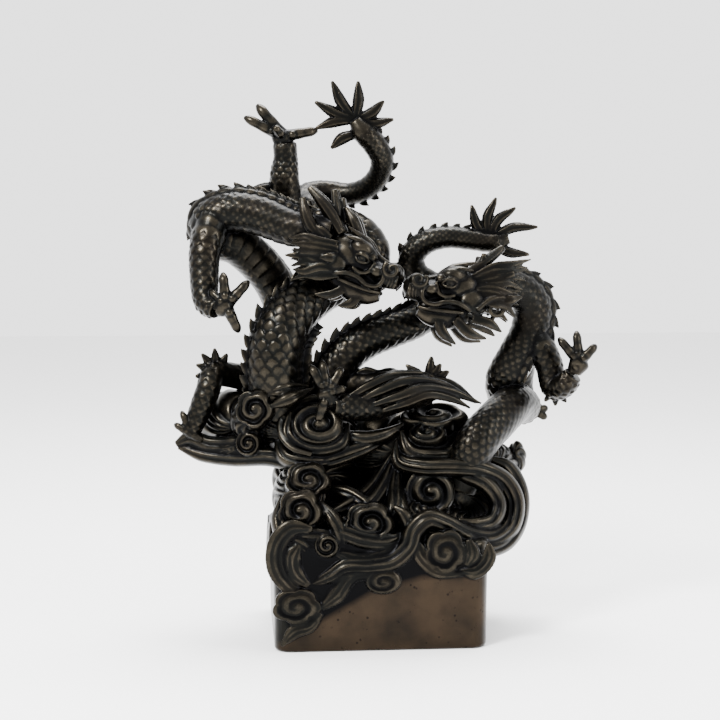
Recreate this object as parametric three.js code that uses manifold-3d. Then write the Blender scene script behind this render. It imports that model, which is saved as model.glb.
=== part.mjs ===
// Two dragons rising from a bank of scrolled cloud on a seal-shaped block, in cast bronze.
// Millimetres, +Z up, +X to the viewer's right, -Y towards the viewer.
// The origin is the middle of the block's underside.
import * as THREE from "three";
import { mergeVertices } from "three/addons/utils/BufferGeometryUtils.js";
import Module from "manifold-3d";

const wasm = await Module();
wasm.setup();

// Driving sizes
const groupHeight = 307.5; // from the block's top to the highest tip of the left dragon's tail
const plinthWidth = 143; // the block at its top
const plinthDepth = 130;
const plinthHeight = 72.5;
const plinthDraft = 0.8; // how far each side leans in from the block's top to its underside
const plinthCorner = 11; // radius of the block's upright corners
const plinthBevel = 2.5; // round its top and underside
const reliefRise = 2.2; // how far the low clouds stand out from the block's faces
const seatGap = 0.4; // clear space left round every seat where two castings meet

// The free form keeps its pose. It is drawn in hundredths of its own height, as it looks to somebody
// who stands in front of it: x and z as they are seen, y as the true depth, less towards the viewer.
// Once joined it is opened out into space by seenToTrue.
const tipLevel = 96.55; // the highest tip over the block, once opened out
const unit = groupHeight / tipLevel; // one hundredth of the drawing
const sightDistance = 357; // in hundredths, as are the next three
const sightHeight = 38.3;
const blockLevel = 3.5; // the block's top in the drawing
const blockMiddle = -0.9; // the middle of the block in the drawing
const sightTurn = THREE.MathUtils.degToRad(5); // the viewer stands this far to the left
const sightRise = THREE.MathUtils.degToRad(5); // and looks down by this much
let skin = 0; // thickness added to every form while the seat for a casting is cut

const toTheRight = new THREE.Vector3(Math.cos(sightTurn), -Math.sin(sightTurn), 0);
const inward = new THREE.Vector3(Math.sin(sightTurn), Math.cos(sightTurn), -Math.tan(sightRise));
inward.normalize();
const upward = new THREE.Vector3().crossVectors(toTheRight, inward);
const eye = inward.clone().multiplyScalar(-sightDistance * unit);

// Moves every point of the forms along its line of sight to its own depth.
function seenToTrue(forms) {
  const sight = new THREE.Vector3();
  return forms.flat(Infinity).map((form) => {
    const positions = form.getAttribute("position");
    for (let i = 0; i < positions.count; i++) {
      const depth = positions.getY(i);
      sight.copy(eye).negate().addScaledVector(toTheRight, positions.getX(i));
      sight.addScaledVector(upward, positions.getZ(i) - sightHeight * unit);
      sight.multiplyScalar((depth - eye.y) / sight.y).add(eye);
      positions.setXYZ(i, sight.x - blockMiddle * unit, depth, sight.z + (sightHeight - blockLevel) * unit);
    }
    return form;
  });
}

const inDrawing = ([x, y, z]) => new THREE.Vector3(x * unit, y * unit, z * unit);

// A place on the block's front: shares of its half-width and height, and the distance out in mm.
const onFront = ([across, out, up]) =>
  new THREE.Vector3(across * (plinthWidth / 2), -plinthDepth / 2 - out, up * plinthHeight);

// Solids. A form is a closed geometry; forms are joined into one casting at the end.

function solid(form) {
  const bare = new THREE.BufferGeometry().setAttribute("position", form.getAttribute("position"));
  bare.setIndex(form.index);
  const merged = mergeVertices(bare, 1e-3);
  const corners = merged.index.array;
  const triangles = [];
  for (let i = 0; i < corners.length; i += 3) {
    const [a, b, c] = corners.slice(i, i + 3);
    if (a !== b && b !== c && c !== a) triangles.push(a, b, c);
  }
  return new wasm.Manifold(new wasm.Mesh({
    numProp: 3,
    vertProperties: merged.attributes.position.array,
    triVerts: new Uint32Array(triangles),
  }));
}

// All the forms as one mass, with the pockets that they close off inside filled.
function cast(forms) {
  const shells = wasm.Manifold.union(forms.flat(Infinity).map(solid)).decompose();
  return wasm.Manifold.union(shells.filter((shell) => shell.volume() > 0));
}

// A ring section: points round a unit circle, flattened by the given share.
const round = (sides, flat = 1) =>
  Array.from({ length: sides }, (_, i) => {
    const angle = (i / sides) * 2 * Math.PI;
    return [Math.sin(angle), Math.cos(angle) * flat];
  });

// A band section with a number of raised flutes on its outer side.
function fluted(flutes, thick) {
  const outer = Array.from({ length: 2 * flutes + 1 }, (_, i) => {
    const across = i / flutes - 1;
    const crown = Math.sqrt(1 - across * across * 0.8);
    return [across, thick * crown * (i % 2 ? 1 : 0.45)];
  });
  return [...outer, [0, -thick]];
}

// The frame of a swept form at one station: where it is, and which way its outer side faces.
// A roll of 0 turns that side to the viewer; it is given in degrees about the direction of travel.
function stationOf(curve, rolls, t) {
  const centre = curve.getPoint(t);
  const ahead = curve.getPoint(Math.min(1, t + 0.01));
  const along = ahead.sub(curve.getPoint(Math.max(0, t - 0.01))).normalize();
  const toViewer = new THREE.Vector3(0, -1, 0);
  const outer = toViewer.addScaledVector(along, -toViewer.dot(along));
  if (outer.lengthSq() < 0.01) outer.set(0, 0, 1).addScaledVector(along, -along.z);
  outer.normalize().applyAxisAngle(along, THREE.MathUtils.degToRad(rolls.getPoint(t).x));
  const across = new THREE.Vector3().crossVectors(along, outer);
  return { centre, along, outer, across };
}

// A section carried along a smooth line through the rows. Each row is x, y, z, half-width and roll.
function sweep(rows, { section = round(5), steps = rows.length, roll = 0, at = inDrawing } = {}) {
  const curve = new THREE.CatmullRomCurve3(rows.map(at));
  const widths = new THREE.CatmullRomCurve3(rows.map((row) => new THREE.Vector3(row[3], 0, 0)));
  const rolls = new THREE.CatmullRomCurve3(rows.map((row) => new THREE.Vector3(row[4] ?? roll, 0, 0)));
  const sides = section.length;
  const geometry = new THREE.CylinderGeometry(1, 1, 1, sides, steps);
  const positions = geometry.getAttribute("position");
  const point = new THREE.Vector3();
  for (let i = 0; i < positions.count; i++) {
    point.fromBufferAttribute(positions, i);
    const t = THREE.MathUtils.clamp(point.y + 0.5, 0, 1);
    const station = stationOf(curve, rolls, t);
    const width = Math.max(0.05, widths.getPoint(t).x) * unit + skin;
    const onAxis = Math.hypot(point.x, point.z) < 0.5;
    const turn = Math.round((Math.atan2(point.x, point.z) / (2 * Math.PI)) * sides + sides) % sides;
    const [across, outer] = onAxis ? [0, 0] : section[turn];
    const overrun = t === 0 ? -skin : t === 1 ? skin : 0;
    point.copy(station.centre).addScaledVector(station.across, across * width);
    point.addScaledVector(station.outer, outer * width).addScaledVector(station.along, overrun);
    positions.setXYZ(i, point.x, point.y, point.z);
  }
  return geometry;
}

// An egg-shaped mass.
function mass(at, [across, deep, high], { around = 5, rings = 3 } = {}) {
  const geometry = new THREE.SphereGeometry(1, around, rings);
  geometry.rotateX(Math.PI / 2);
  geometry.scale(across * unit + skin, deep * unit + skin, high * unit + skin);
  return geometry.translate(...inDrawing(at));
}

// A lock, flame, spine or claw: swept from a root to a fine tip, flattened in depth.
const lock = (rows, flat = 0.6, sides = 3, steps = 2) => (
  sweep(rows, { section: round(sides, flat), steps })
);

// Dragons

// Spines standing along the outer side of a body, one after another.
function spines(rows, { from, to, count, height }) {
  const curve = new THREE.CatmullRomCurve3(rows.map(inDrawing));
  const widths = new THREE.CatmullRomCurve3(rows.map((row) => new THREE.Vector3(row[3], 0, 0)));
  const rolls = new THREE.CatmullRomCurve3(rows.map((row) => new THREE.Vector3(row[4], 0, 0)));
  return Array.from({ length: count }, (_, i) => {
    const t = from + ((to - from) * (i + 0.5)) / count;
    const { centre, along, outer, across } = stationOf(curve, rolls, t);
    const reach = widths.getPoint(t).x * unit;
    const tall = height * reach;
    const long = tall * 0.9;
    const geometry = new THREE.ConeGeometry(1, 1, 4, 1);
    const frame = new THREE.Matrix4().makeBasis(
      along.clone().multiplyScalar(long + skin),
      outer.clone().addScaledVector(along, 0.5).multiplyScalar(2 * tall + skin),
      across.clone().multiplyScalar(reach * 0.16 + skin),
    );
    frame.setPosition(centre.addScaledVector(outer, reach + skin));
    return geometry.applyMatrix4(frame);
  });
}

// The same body with its outer side turned by an angle.
const turned = (rows, angle) => rows.map(([x, y, z, width, roll]) => [x, y, z, width, roll + angle]);

// A fan of curved spikes, all from one root. Each spike gives its tip and how far its middle bows.
function fan(root, tips, { width, flat = 0.45 }) {
  return tips.map(([x, y, z, bow = 0]) => {
    const [rx, ry, rz] = root;
    const middle = [(rx + x) / 2 - (z - rz) * bow, (ry + y) / 2, (rz + z) / 2 + (x - rx) * bow];
    return lock([[rx, ry, rz, width * 0.7], [...middle, width], [x, y, z, 0.22 * width]], flat, 3, 3);
  });
}

// An open paw. Each finger gives its tip's place beside the palm; the tips are blunt knobs.
function paw([x, y, z], wrist, fingers, size = 1) {
  const palm = sweep([[...wrist, 1.8 * size], [x, y, z, 2.6 * size], [
    x + (x - wrist[0]) * 0.5, y, z + (z - wrist[2]) * 0.5, 1.7 * size,
  ]], { section: round(5, 0.8), steps: 2 });
  const digits = fingers.map(([dx, dz, dy = 0, fat = 1]) => sweep([
    [x, y, z, 1.7 * size],
    [x + dx * 0.6, y + dy * 0.5 - 0.6, z + dz * 0.6, 1.45 * fat * size],
    [x + dx, y + dy, z + dz, 0.9 * fat * size],
  ], { section: round(4), steps: 2 }));
  return [palm, digits];
}

// A head in its own frame: snout along +x, crown along +z, in hundredths. Both sides are alike.
function head(at, { pitch, yaw, tilt, horns, mane, tufts }) {
  const both = (rows) => [rows, rows.map(([x, y, z, ...rest]) => [x, -y, z, ...rest])];
  const strand = (share) => mane.top.map((row, i) => row.map((value, k) => (
    THREE.MathUtils.lerp(value, mane.low[i][k], share)
  )));
  const parts = [
    mass([-3.6, 0, 0.2], [5.4, 3.9, 4.2], { around: 7, rings: 5 }),
    sweep([[-2, 0, -0.6, 3.6], [2, 0, -1, 2.9], [5, 0, -1, 2.7], [9.4, 0, -0.4, 2.2]],
      { section: round(7, 0.9), steps: 3 }),
    sweep([[-4, 0, -5, 2.6], [1, 0, -6.2, 2.7], [6.4, 0, -5, 1.4]], { section: round(5, 0.95), steps: 2 }),
    ...[horns, tufts, [0, 0.5, 1].map(strand)].flat().flatMap(both).map((rows) => lock(rows)),
  ];
  for (const side of [1, -1]) {
    parts.push(
      mass([-1.2, side * 2.1, 2.3], [2.9, 1.9, 2]),
      mass([7.2, side * 1.9, 1.1], [1.9, 1.3, 1.9]),
      mass([-5.4, side * 3, -2.8], [3.2, 1.5, 2.8]),
      lock([[-4.4, side * 3.6, -5.2, 0.5], [0.6, side * 3.4, -3.7, 0.7], [6, side * 2.5, -2.4, 0.5]]),
    );
  }
  const turn = new THREE.Matrix4().makeRotationFromEuler(new THREE.Euler(
    THREE.MathUtils.degToRad(tilt), THREE.MathUtils.degToRad(pitch), THREE.MathUtils.degToRad(yaw), "ZYX",
  ));
  turn.setPosition(inDrawing(at));
  return parts.map((form) => form.applyMatrix4(turn));
}

const leftHead = {
  pitch: 24,
  yaw: -14,
  tilt: -6,
  horns: [
    [[-6.5, 1.6, 3.6, 1.2], [-11.8, 2.2, 7.2, 1.5], [-17.2, 2.2, 9.8, 0.7]],
    [[-9, 2.8, 0.6, 1.3], [-14.4, 3.2, 3.4, 1.5], [-17.4, 3.2, 7.2, 0.7]],
    [[-7.4, 0.9, 4.6, 1], [-9.8, 1, 8, 1.1], [-12.2, 1, 11.6, 0.6]],
    [[-2.4, 1.2, 4.2, 1.2], [-5, 1.6, 6.8, 1.3], [-8.2, 1.4, 9.2, 0.3]],
  ],
  mane: {
    top: [[-6, 3.4, 1, 1.3], [-11, 4.5, 0, 1.4], [-16, 4, -1.6, 0.3]],
    low: [[-3, 3.4, -4.4, 1.3], [-7.4, 4, -7, 1.4], [-12, 3.2, -9.6, 0.3]],
  },
  tufts: [[[2.4, 1.2, -6.8, 1.3], [2, 1.3, -9, 1.4], [-0.6, 1.2, -11, 0.3]]],
};

const rightHead = {
  pitch: -4,
  yaw: 194,
  tilt: 8,
  horns: [
    [[-4.4, 1.8, 3.4, 1.2], [-7.6, 2, 6, 1.3], [-11.4, 2, 9.4, 0.7]],
    [[-2, 1.2, 3.6, 0.9], [-0.2, 1.4, 4.6, 0.7]],
  ],
  mane: {
    top: [[-5, 2.6, 2.2, 1.3], [-11, 4, 5.2, 1.4], [-17.4, 4, 6.6, 0.3]],
    low: [[-6, 3.4, -2.4, 1.3], [-10.4, 4.4, -3.6, 1.4], [-14.4, 4, -5.6, 0.3]],
  },
  tufts: [
    [[2.4, 1.2, -6.8, 1.3], [1.4, 1.6, -9.8, 1.5], [-1.8, 1.6, -12.4, 0.3]],
    [[-1.4, 2, -7, 1.4], [-4.4, 2.4, -9.8, 1.5], [-8.4, 2.4, -10.8, 0.3]],
  ],
};

// Body rows run from the head's end to the root in the cloud: x, y, z, half-width, roll of the back.
const leftFrontBody = [
  [-9.2, -6, 67.6, 3.6, 70], [-17.8, -3, 68.2, 4.1, 75], [-26.6, -0.5, 71.2, 4.3, 80],
  [-32.6, 0.5, 71.6, 4.3, 85],
  [-36.4, 1.6, 69.4, 4.2, 100], [-35, 3, 66.2, 4.1, 130], [-30, 4.6, 64.2, 4.2, 150],
  [-22.9, 7.2, 57.1, 4.2, 170],
  [-19.8, 9.8, 49.5, 4.2, 180], [-18.6, 11, 40, 4.2, 180], [-18.4, 11, 28.5, 4.2, 180],
];
const leftRearBody = [
  [-20.9, -4, 25, 5.2, -80], [-21.6, -5, 31, 5.5, -80], [-22.4, -6, 37.4, 5.8, -75],
  [-21.8, -6, 43.6, 5.8, -70], [-18.8, -4, 49.4, 5.4, -65], [-13.6, -1, 54, 5, -60],
  [-7.4, 2, 57, 4.4, -60], [-2.3, 4, 59.6, 3.9, -70], [-0.9, 4.5, 63, 3.5, -85],
  [-2.9, 5.2, 66.8, 3.3, -95], [-6.9, 7, 69.4, 3.1, -100], [-11.7, 10, 71.4, 3, -100],
  [-15.6, 13.4, 73.4, 2.7, -90], [-15.4, 16.4, 75.2, 2.5, -60], [-11.4, 17.4, 76, 2.4, 60],
  [-6.1, 16, 75.6, 2.3, 80], [-2.2, 14, 77, 2.3, 90], [0.2, 12, 79.8, 2.3, 90],
  [0.8, 10.5, 83, 2.4, 90], [-0.6, 9.4, 86, 2.5, 90], [-3.4, 8.4, 89.2, 2.4, 90], [-5, 8, 91.6, 1.3, 90],
];
const rightFrontBody = [
  [22, -6, 54.6, 3.6, -75], [26.4, -3.4, 55, 4, -80], [30.4, -1, 54.6, 4.1, -85],
  [33.2, 0.6, 51.6, 4.2, -90],
  [33, 1, 46.4, 4.1, -75], [30.2, 0.4, 40.7, 4, -45], [27.4, 1.5, 35.4, 4, -60], [28.4, 6.5, 31, 3.8, -110],
  [31.2, 5.4, 29.8, 3.8, 60], [29.4, -1, 30, 4.1, 20], [25.7, -7, 26.6, 4.3, 0],
  [21.4, -10.4, 21.6, 4.3, 0], [17.6, -8, 12, 4, 0],
];
const rightRearBody = [
  [-10.8, 1, 20, 4.2, -80], [-10.8, 0, 30.5, 4.3, -75], [-9.7, 0, 35.7, 4.3, -75],
  [-7.1, 0, 40.5, 4.1, -70],
  [-2.6, 0, 43.8, 3.9, -70], [3, 0, 46, 3.7, -70], [8.3, 1, 48, 3.5, -75], [12.6, 3, 51.2, 3.2, -80],
  [12, 5, 55.2, 3, -90], [8.4, 4.8, 58, 2.8, -95], [7.3, 4, 61.6, 2.7, -90], [10, 3, 64.8, 2.5, -80],
  [14.8, 2, 66.1, 2.3, -80], [20.2, 1.5, 65.6, 2.2, -80], [24.8, 1, 65, 2, -80], [28.3, 1, 66, 1.2, -80],
];

const body = (rows, steps) => sweep(rows, { section: round(6), steps });

const castings = {
  // Head, neck and forelegs of the dragon on the viewer's left
  left_dragon_front: () => [
    head([-3.3, -8, 60.9], leftHead),
    body(leftFrontBody, 17),
    spines(leftFrontBody, { from: 0.1, to: 0.5, count: 5, height: 0.36 }),
    sweep([[-35.9, -0.5, 69, 3.6], [-37.4, -2.4, 63.4, 3.2], [-37.6, -4, 57, 2.9], [-37, -6, 52, 2.5],
      [-34.8, -8, 50.6, 2.2]]),
    paw([-32.9, -8.6, 51.4], [-35, -7.8, 50.6], [[-0.6, 6.6], [4.6, 4.9], [2.6, -5.4], [-3.2, 3, 1, 0.8]]),
    sweep([[-19.5, 10, 35.5, 2.6], [-26.4, 5, 35.3, 2.6], [-32.2, 1, 36.4, 2.5], [-35.3, -1, 36.6, 2.5],
      [-37.1, -2.5, 32.3, 2.4], [-39.2, -3, 27, 2.1], [-40.7, -3.5, 23.4, 1.6]]),
    paw([-40.6, -3.6, 23.6], [-39.8, -3.4, 25.2], [[-1.8, 4.6, 0, 0.9], [-3.2, 2, 0, 0.9],
      [2.6, -1.4]], 0.8),
    fan([-34.8, -1, 37], [[-39.4, -1.5, 38.6], [-38.2, -1.5, 41], [-35.4, -1.5, 42.2], [-32.6, -1, 41],
      [-39.6, -1.6, 36]], { width: 1.1 }),
  ],
  // Haunches, hind leg and tail of the same dragon
  left_dragon_rear: () => [
    body(leftRearBody, 30),
    spines(leftRearBody, { from: 0.06, to: 0.5, count: 6, height: 0.4 }),
    spines(leftRearBody, { from: 0.68, to: 0.94, count: 4, height: 0.46 }),
    spines(turned(leftRearBody, 165), { from: 0.08, to: 0.24, count: 2, height: 0.55 }),
    sweep([[-15.4, 13, 73.2, 2.8], [-19, 10.4, 73.2, 3], [-20.2, 9, 78, 3], [-20, 8.5, 83.4, 2.4],
      [-20.2, 8.4, 86.6, 2.5]]),
    paw([-20.6, 8.2, 88], [-20.2, 8.4, 85.6], [[7, 1.2], [-5.2, 6.4, 0, 1.1], [-7.8, 3.9, -1],
      [-1.7, 2, -2.6, 0.8]]),
    lock([[-18, 10, 75, 1.8], [-24, 9, 76.6, 1.6], [-31, 7, 74.6, 0.3]]),
    fan([-5, 8, 91.6], [[-13.7, 7.6, 95.5, 0.04], [-10, 8, 100, 0.06], [-4.3, 8, 100, -0.05],
      [1.3, 8.4, 95.7, -0.1],
      [3.4, 8.6, 91.7, -0.1], [-13.4, 7.6, 89.8, -0.06]], { width: 1.6 }),
    fan([-4.6, 8.4, 88.6], [[-10.2, 7.8, 85.4, -0.1]], { width: 1.4 }),
  ],
  // Head, neck and forelegs of the dragon on the viewer's right
  right_dragon_front: () => [
    head([15.1, -9, 55.1], rightHead),
    body(rightFrontBody, 20),
    spines(rightFrontBody, { from: 0.05, to: 0.4, count: 5, height: 0.36 }),
    sweep([[34.4, 0, 44, 3], [37, -1.5, 38.6, 2.8], [38.2, -3, 33.8, 2.6], [40.4, -5, 34.2, 2.4],
      [42.2, -6, 36.4, 2.1]]),
    paw([43.6, -6.5, 39], [42.4, -6, 37], [[-4.2, 5], [-0.6, 6.4], [3.4, 3.6, -1],
      [-2.4, -3, 1, 0.8]], 0.9),
    sweep([[33, 4, 44, 3], [31, 7, 38.5, 2.8], [31, 9, 33, 2.4], [33, 9, 29.6, 1.8]]),
    paw([34, 8.6, 28.6], [32.8, 9, 29.8], [[2.4, 0.6], [2.2, -1.4]], 0.8),
    fan([38.4, -2.6, 33.4], [[36, -2.2, 30.6], [38.4, -2.6, 29.6], [40.8, -3, 30.4]], { width: 0.9 }),
  ],
  // Haunches, hind leg and tail of the same dragon
  right_dragon_rear: () => [
    body(rightRearBody, 24),
    spines(rightRearBody, { from: 0.12, to: 0.5, count: 6, height: 0.4 }),
    spines(rightRearBody, { from: 0.56, to: 0.84, count: 4, height: 0.48 }),
    sweep([[-8.4, 0, 34.2, 3.3], [-1.4, -1, 33.8, 3.4], [5.3, -4, 33.9, 3.4], [10.2, -8, 33.2, 3.2],
      [4.6, -9, 31.8, 3.3], [-1.2, -10, 29.9, 3.2], [-6.1, -11, 29.4, 2.8], [-9.6, -12, 29.6, 2]]),
    paw([-11, -12.4, 32.4], [-10, -12, 30], [[-3.4, 5.6], [-1, 6.6], [3, 5.2], [3.8, 1, 0, 0.9],
      [-2, -6.4]], 0.95),
    lock([[9, -7.6, 34, 2.6], [15.4, -7.4, 33.6, 2], [21.4, -7.4, 30.4, 0.4]], 0.6, 6, 3),
    fan([11, -6.6, 34.6], [[11.6, -6.4, 40.4], [13.6, -6.6, 38.8], [15.4, -6.8, 37.2], [6, -5.6, 38.6]],
      { width: 1.2 }),
    fan([24, 1, 65.4], [[20.2, 1, 73.2, 0.1], [25.6, 0.8, 74.8, 0.12], [29.8, 0.6, 72.6, 0.14],
      [34.6, 0.6, 68.4, 0.12], [32.8, 1, 62.4, -0.1]], { width: 1.45 }),
  ],
};

// Cloud

// A scroll of cloud: a raised rim, a groove and a knob, each ring set off centre so that they wind in.
// Yaw turns it to the right, rise upwards.
const scrollProfile = [[0, 1.3], [0.56, 0.5], [0.84, 1], [1, 0], [0, -1]];
const lobes = 5; // round a lobed scroll
const lobeDip = 0.14; // how far its outline dips between them
const plainProfile = [[0, 1.1], [0.94, 0.6], [0.9, -0.6], [0, -1]];

function scroll(at, [wide, tall], form = {}) {
  const { deep = 4, start = 200, hand = 1, yaw = 0, rise = 0, plain, lobed } = form;
  const profile = plain ? plainProfile : scrollProfile;
  const outline = profile.map(([reach, height]) => new THREE.Vector2(reach, height));
  const sides = plain ? 6 : lobed ? 2 * lobes : 7;
  const geometry = new THREE.LatheGeometry(outline, sides);
  const positions = geometry.getAttribute("position");
  for (let i = 0; i < positions.count; i++) {
    const inwards = 1 - Math.hypot(positions.getX(i), positions.getZ(i));
    const angle = THREE.MathUtils.degToRad(start + hand * 300 * inwards);
    const shift = 0.22 * inwards;
    const bearing = Math.atan2(positions.getX(i), positions.getZ(i));
    const dip = lobed && Math.round((bearing * sides) / (2 * Math.PI)) % 2;
    const reach = dip ? 1 - lobeDip : 1;
    positions.setXYZ(
      i,
      (positions.getX(i) * reach + shift * Math.cos(angle)) * (wide * unit + skin),
      -positions.getY(i) * ((deep / 2) * unit + skin),
      (positions.getZ(i) * reach + shift * Math.sin(angle)) * (tall * unit + skin),
    );
  }
  const turn = new THREE.Matrix4().makeRotationFromEuler(new THREE.Euler(
    THREE.MathUtils.degToRad(-rise), 0, THREE.MathUtils.degToRad(yaw), "ZYX",
  ));
  turn.setPosition(at);
  return geometry.applyMatrix4(turn);
}

// A ribbon of cloud with raised flutes along it.
const ribbon = (rows, { flutes = rows.length > 5 ? 2 : 1, thick = 0.7, steps = rows.length - 1,
  at } = {}) =>
  sweep(rows, { section: fluted(flutes, thick), steps, at });

const cloudMasses = [
  [[1, 1, 5], [22.5, 18, 8]],
  [[-12, 3, 14], [11, 12, 9]],
  [[-16.5, -6, 10], [6.5, 10.5, 7.5]],
  [[-17, 1, 25], [12.5, 13, 7]],
  [[-28, -1, 20.5], [9, 7, 3.4]],
  [[-30.5, 4, 26], [8.5, 8, 7.5]],
  [[-27.4, -5.4, 26.4], [4.6, 4.6, 5]],
  [[4, 5, 20], [14, 10, 10]],
  [[11.6, -1.6, 22], [6, 6, 5.4]],
  [[16, 2, 10], [14, 12, 11.5]],
  [[25, 4, 14], [6, 9, 8]],
  [[30, 5, 18.6], [2.2, 3, 3.6]],
  [[29.8, 4, 13], [2, 3, 1.8]],
];

// Scrolls on the front of the bank, then plainer ones round its sides and back.
const bankScrolls = [
  [[-26.4, -9.5, 29], [3.9, 3.9], { yaw: -15, lobed: true }],
  [[-27.7, -7.5, 21.6], [2.7, 2.7], { yaw: -15 }],
  [[-13, -12, 25.1], [5.2, 4.6], { rise: 30, hand: -1 }],
  [[-15.2, -15.5, 13.4], [4.6, 3.8], { rise: 15, lobed: true }],
  [[-16.7, -17.5, 6.9], [4.5, 4.5], { yaw: -10, lobed: true }],
  [[-1.9, -18.6, 4.4], [5, 4.2], { deep: 5, lobed: true }],
  [[-11, -19.3, -0.6], [2.6, 2.5], {}],
  [[11, -10.4, 10.9], [5.2, 5.2], {}],
  [[12.1, -5, 26.8], [6.8, 4.4], { rise: 55, lobed: true }],
  [[10.8, -9, 22.9], [4, 3.2], { rise: 45 }],
  [[-18.5, 2, 12], [4.4, 4.2], { yaw: -85, plain: true }],
  [[28.5, 6, 7], [4.8, 4.6], { yaw: 80, plain: true }],
  [[-13, 15.5, 9], [5, 4.8], { yaw: 190, plain: true }],
  [[2, 18, 6], [5.4, 5], { yaw: 180, plain: true }],
  [[15, 14.5, 8], [4.6, 4.4], { yaw: 165, plain: true }],
];

// The first ribbon is the long one: over the big wave, round its end and back across the block's face.
const bankRibbons = [
  [[4.1, -8, 22.5, 1.2], [4.8, -10.5, 17.8, 1.7], [9.7, -12.8, 16.4, 1.9], [16, -13.4, 16.4, 1.9],
  [22.5, -12, 15.8, 1.9],
    [27.3, -9.5, 13.4, 2], [29.6, -8.4, 9.2, 2], [28.8, -9.6, 3.9, 2], [24.9, -13, 1.1, 2],
    [19.3, -16.4, 1.8, 2],
    [14.5, -18.6, 4.3, 2], [11, -19.7, 5.2, 2.1], [8, -19.8, 2.8, 2.2], [6.5, -19.8, -0.9, 2.2],
    [3.2, -19.8, -3.9, 2.1],
    [-1.5, -19.8, -4.8, 2], [-7.1, -19.8, -5.2, 1.9], [-10.4, -19.8, -7.2, 1.6], [-15.4, -19.8, -9.4, 0.8]],
  [[9.7, -12, 14.6, 1.2], [17, -12.6, 14, 1.7], [22.5, -12, 12, 1.8], [25.6, -11.4, 8.4, 1.8],
  [24.6, -12.6, 5, 1.8],
    [20.6, -14.6, 4.6, 1.6], [16.4, -16, 6.4, 1]],
  [[23.6, -7, 18.4, 1.2], [28, -6, 16, 1.9], [30.6, -5.4, 10.6, 2], [30.2, -6.4, 4.6, 2],
  [27.4, -10.6, 0.2, 2],
    [22, -15, -1.4, 1.9], [16.6, -18, -0.6, 1.2]],
  [[4.1, -7, 21, 0.8], [0, -9.5, 13.6, 1.5], [-4.8, -14, 8.9, 1.8], [-10.4, -16.4, 6.4, 1.1]],
  [[4.2, -7.4, 20, 0.8], [1.7, -11, 13.2, 1.5], [-1.4, -15, 8.8, 1.7], [-5, -17.6, 6.4, 1.1]],
  [[4.4, -7.8, 19, 0.8], [3.8, -12, 12.4, 1.5], [3.6, -16, 8, 1.8], [2.6, -18.6, 5, 1.2]],
  [[4.5, -8, 18.4, 0.8], [5.4, -12, 12, 1.3], [6.6, -16, 8, 1.6], [8.6, -18.8, 5, 1.1]],
  [[-43.8, -2, 21.4, 1.3], [-40.6, -2.6, 22.7, 1.6], [-36.6, -3.6, 21.4, 1.7], [-31.6, -5.6, 21.4, 1.7],
    [-28, -8, 22.6, 1]],
  [[-43.2, -2, 20.8, 1.2], [-38, -3, 19.2, 1.6], [-31, -5.6, 18.4, 1.8], [-24, -9, 18.6, 1.9],
  [-17.6, -11.6, 17.6, 2],
    [-11, -12, 18, 2], [-4.6, -11, 20, 1.8], [3, -8, 22.8, 1]],
  [[-19, -10, 28.6, 1], [-19.4, -12, 23.4, 1.4], [-14.4, -13.4, 20.2, 1.5], [-8, -12.4, 21.4, 1.4],
  [-6.4, -10, 26, 0.9]],
  [[-24, -10.5, 32, 1.2, -30], [-20.4, -10.4, 33.2, 1.7], [-15, -7, 34, 0.7]],
  [[-23, -11.6, 29.6, 1.2], [-19.4, -11.6, 31, 1.6], [-14, -8, 33.4, 0.7]],
  [[-22.6, -15, 1.4, 1.4], [-17.4, -18.2, 1.6, 2.4], [-8, -18.2, 0.6, 2.4], [1, -18, 0.4, 2.4],
  [10, -17.8, 1, 2.2],
    [18, -16.4, 1, 1.6]],
  [[-22, 10, 19, 1.2, 180], [-12, 14, 15, 2.2, 180], [2, 14.6, 13.6, 2.2, 180], [14, 14, 13, 2, 180],
  [26, 9, 15, 1.4, 180]],
];

// Low clouds on the block's faces. Across and up are shares of the half-width and the height.
const frontScrolls = [
  [[0.58, -0.09], [4.1, 4.3], { start: 120, lobed: true }],
  [[0.01, -0.354], [3.5, 2.4], { start: 160 }],
  [[-0.79, -0.57], [4.6, 3.5], { start: 100, lobed: true }],
];
const frontRibbons = [
  [[-0.08, -0.25, 0.9], [-0.3, -0.32, 1.5], [-0.42, -0.47, 1.6], [-0.58, -0.6, 0.8]],
  [[-0.56, -0.64, 0.8], [-0.66, -0.75, 1.2], [-0.81, -0.8, 1.4], [-0.93, -0.93, 0.8]],
  [[0.99, -0.02, 1.2], [0.98, -0.16, 1.6], [0.88, -0.27, 1.6], [0.72, -0.28, 1]],
  [[-0.97, 0.12, 1.6], [-0.98, -0.08, 2], [-0.98, -0.26, 2], [-0.94, -0.42, 1.2]],
  [[-0.84, -0.02, 1.5], [-0.79, -0.14, 1.9], [-0.86, -0.28, 1.9], [-0.93, -0.42, 1]],
];
const plainScrolls = [[[0.1, -0.14], [4.8, 4.4], { plain: true }]];
const plainRibbons = [
  [[-0.9, -0.04, 1.3], [-0.5, -0.3, 1.9], [0.2, -0.34, 1.9], [0.9, -0.06, 1.3]],
];

// The low clouds of one face, laid out on the front and turned to their side.
function lowClouds(scrolls, ribbons, side) {
  const reach = side % 2 ? [plinthDepth / plinthWidth, (plinthWidth - plinthDepth) / 2] : [1, 0];
  const put = ([across, up], out) => onFront([across * reach[0], out + reach[1], up]);
  const deep = 2 * (reliefRise / unit);
  const forms = [
    scrolls.map(([place, size, form]) => scroll(put(place, 0), size, { ...form, deep })),
    ribbons.map((rows) => ribbon(
      rows.map(([across, up, width]) => [across, up, 0, width]),
      { at: ([across, up]) => put([across, up], reliefRise / 4), thick: reliefRise / 4, flutes: 1 },
    )),
  ];
  return forms.flat().map((form) => form.rotateZ((side * Math.PI) / 2));
}

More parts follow.
